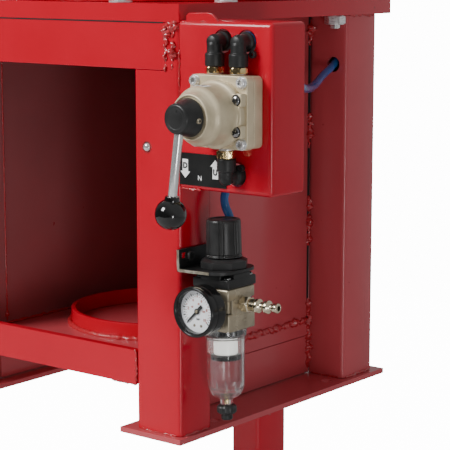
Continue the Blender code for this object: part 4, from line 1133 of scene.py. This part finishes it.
def bowl():
    """Clear bowl with a lugged rim, white element, black baffle with vanes, and the drain under it."""
    top = BODY_LOW - 0.3
    profile = [
        (16.35, top), (18.1, top), (18.1, top - 4.6), (16.6, top - 6), (16.2, 78), (15.6, 50), (15, 45),
        (12.6, 39.6), (9, 36.6), (5.9, 35.4), (5.4, 34.4), (5.3, 30.7), (2.6, 30.7), (2.6, 38.6), (7.4, 39.8),
        (10.8, 42.8), (12.8, 46.4), (13.4, 51), (13.9, 78), (14, 87.4), (16.35, 89), (16.35, top),
    ]
    fine("filter_bowl", lathe, AXIS, profile, "bowl", "up", 0.6, 96)
    studs("bowl_lug", 8, 0.35, 17.4, top - 3.2, 1.1, 2.6, 2.8, 0.5)
    studs("bowl_fin", 6, 0.2, 9.2, 43.6, 0.5, 2.2, 4.6, 0.3)

    def notched(angle, radius):
        return 1 - (0.07 if radius > 15 and cos(18 * angle) > 0.3 else 0)

    def vanes(angle, radius):
        return 1 - (0.05 if radius > 11.6 and cos(24 * angle) > 0.2 else 0)

    def grip(angle, radius):
        return 1 - (0.04 * (0.5 + 0.5 * cos(20 * angle)) if radius > 7.6 else 0)

    seat = [(0, 96.2), (15.8, 96.2), (15.8, 91.6), (12.6, 91.4), (12.2, 89), (0, 89)]
    belongs(lathe("bowl_seat_ring", AXIS, seat, "knob", "up", 0.3, 144, notched), "regulator_body")
    white = [(0, 88.9), (9.4, 88.9), (10.1, 88.2), (10.1, 75.2), (9.6, 74.4), (0, 74.4)]
    fine("filter_element", lathe, AXIS, white, "white", "up", 0.5, 72)
    baffle = [(0, 74.3), (10.6, 74.1), (12.6, 73.2), (12.8, 71.2), (12.2, 69.6), (4, 69.1), (0, 69)]
    belongs(lathe("bowl_baffle", AXIS, baffle, "knob", "up", 0.4, 144, vanes), "filter_element")
    insert = [(0, 39), (1.6, 39), (2.4, 38), (2.4, 31.4), (0, 31.4)]
    belongs(lathe("drain_insert", AXIS, insert, "brass", "up", 0.2, 32), "filter_bowl")
    drain = [
        (0, 30.2), (5.4, 30.2), (7.6, 29.4), (8.4, 28.2), (8.5, 24.4), (7.4, 23), (5.4, 22.2), (4.9, 21.4),
        (4.9, 18.2), (4.4, 17.2), (2, 17.1), (0, 17.1),
    ]
    fine("drain_knob", lathe, AXIS, drain, "knob", "up", 0.4, 120, grip)


# Stage: floor, light and camera

FLOOR_HALF = 2.6  # metres
FLOOR_GLOW = 0.05
ROOM_LIGHT = 0.40
KEY_POWER, EDGE_POWER = 108, 8
BEHIND = (0.61, 0.77, 1)  # away from the camera and up
CAMERA_AZIMUTH = 38.5
CAMERA_TILT = 9.3
CAMERA_LENS = 128


def stage():
    """White floor, brighter to the camera than to the part, so that its edge doesn't show."""
    shape = bmesh.new()
    bmesh.ops.create_grid(shape, x_segments=1, y_segments=1, size=FLOOR_HALF)
    floor = finish_mesh("studio_floor", shape, "dial")
    floor.data.materials.clear()
    floor.data.materials.append(surface("studio_white", 0.46, 0.52, (0.6, 0.7), 0, 1, 60, 0.00001))
    look = Look("studio_white")
    look.set({"Emission Color": (1, 1, 1, 1)})
    seen = look.node("ShaderNodeLightPath").outputs["Is Camera Ray"]
    look.join(look.range(seen, FLOOR_GLOW, WHITE), "Emission Strength")


def light(name, offset, size, power):
    """A rectangular lamp that faces the part's middle."""
    centre = at(60, 60, 200)
    data = bpy.data.lights.new(name, "AREA")
    data.shape = "RECTANGLE"
    data.size, data.size_y = size
    data.energy = power
    lamp = linked(name, data)
    lamp.location = centre + Vector(offset)
    lamp.rotation_euler = (centre - lamp.location).to_track_quat("-Z", "Y").to_euler()


def lights():
    light("key", (-1.1, -2.3, 1.7), (1.1, 1.1), KEY_POWER)
    light("edge", (1.95, -1.35, -0.42), (0.35, 0.55), EDGE_POWER)


def world():
    """White to the camera. Reflections see a pale room behind the part and a dim one in front of it."""
    made = bpy.data.worlds.new("studio")
    bpy.context.scene.world = made
    made.use_nodes = True
    nodes, links = made.node_tree.nodes, made.node_tree.links
    path, where = nodes.new("ShaderNodeLightPath"), nodes.new("ShaderNodeTexCoord")
    behind = nodes.new("ShaderNodeVectorMath")
    behind.operation = "DOT_PRODUCT"
    behind.inputs[1].default_value = BEHIND
    links.new(where.outputs["Generated"], behind.inputs[0])
    room = nodes.new("ShaderNodeMapRange")
    for socket, value in {"From Min": -0.6, "From Max": 0.7, "To Min": 0.05, "To Max": 0.50}.items():
        room.inputs[socket].default_value = value
    links.new(behind.outputs["Value"], room.inputs["Value"])
    ambient = nodes["Background"]
    reflected, seen = (nodes.new("ShaderNodeBackground") for _ in range(2))
    for background, strength in ((ambient, ROOM_LIGHT), (reflected, WHITE), (seen, WHITE)):
        background.inputs["Color"].default_value = (1, 1, 1, 1)
        background.inputs["Strength"].default_value = strength
    links.new(room.outputs["Result"], reflected.inputs["Strength"])
    source = ambient.outputs[0]
    for kind, other in (("Is Glossy Ray", reflected), ("Is Camera Ray", seen)):
        mix = nodes.new("ShaderNodeMixShader")
        links.new(path.outputs[kind], mix.inputs[0])
        links.new(source, mix.inputs[1])
        links.new(other.outputs[0], mix.inputs[2])
        source = mix.outputs[0]
    links.new(source, nodes["World Output"].inputs["Surface"])


def camera():
    data = bpy.data.cameras.new("camera")
    data.lens = CAMERA_LENS
    data.sensor_width = 36
    data.clip_end = 100
    made = linked("camera", data)
    made.location = at(HALF + 844, -1001, 397.3)
    made.rotation_euler = (radians(90 - CAMERA_TILT), 0, radians(CAMERA_AZIMUTH))
    bpy.context.scene.camera = made


def main():
    camera()
    body()
    welds()
    corner_tab()
    foot_caps()
    cylinder()
    ball_catch()
    valve()
    lever()
    fittings()
    position_label()
    tubes()
    regulator_bracket()
    knob()
    regulator()
    stage()
    world()
    lights()
    bpy.context.view_layer.update()


main()
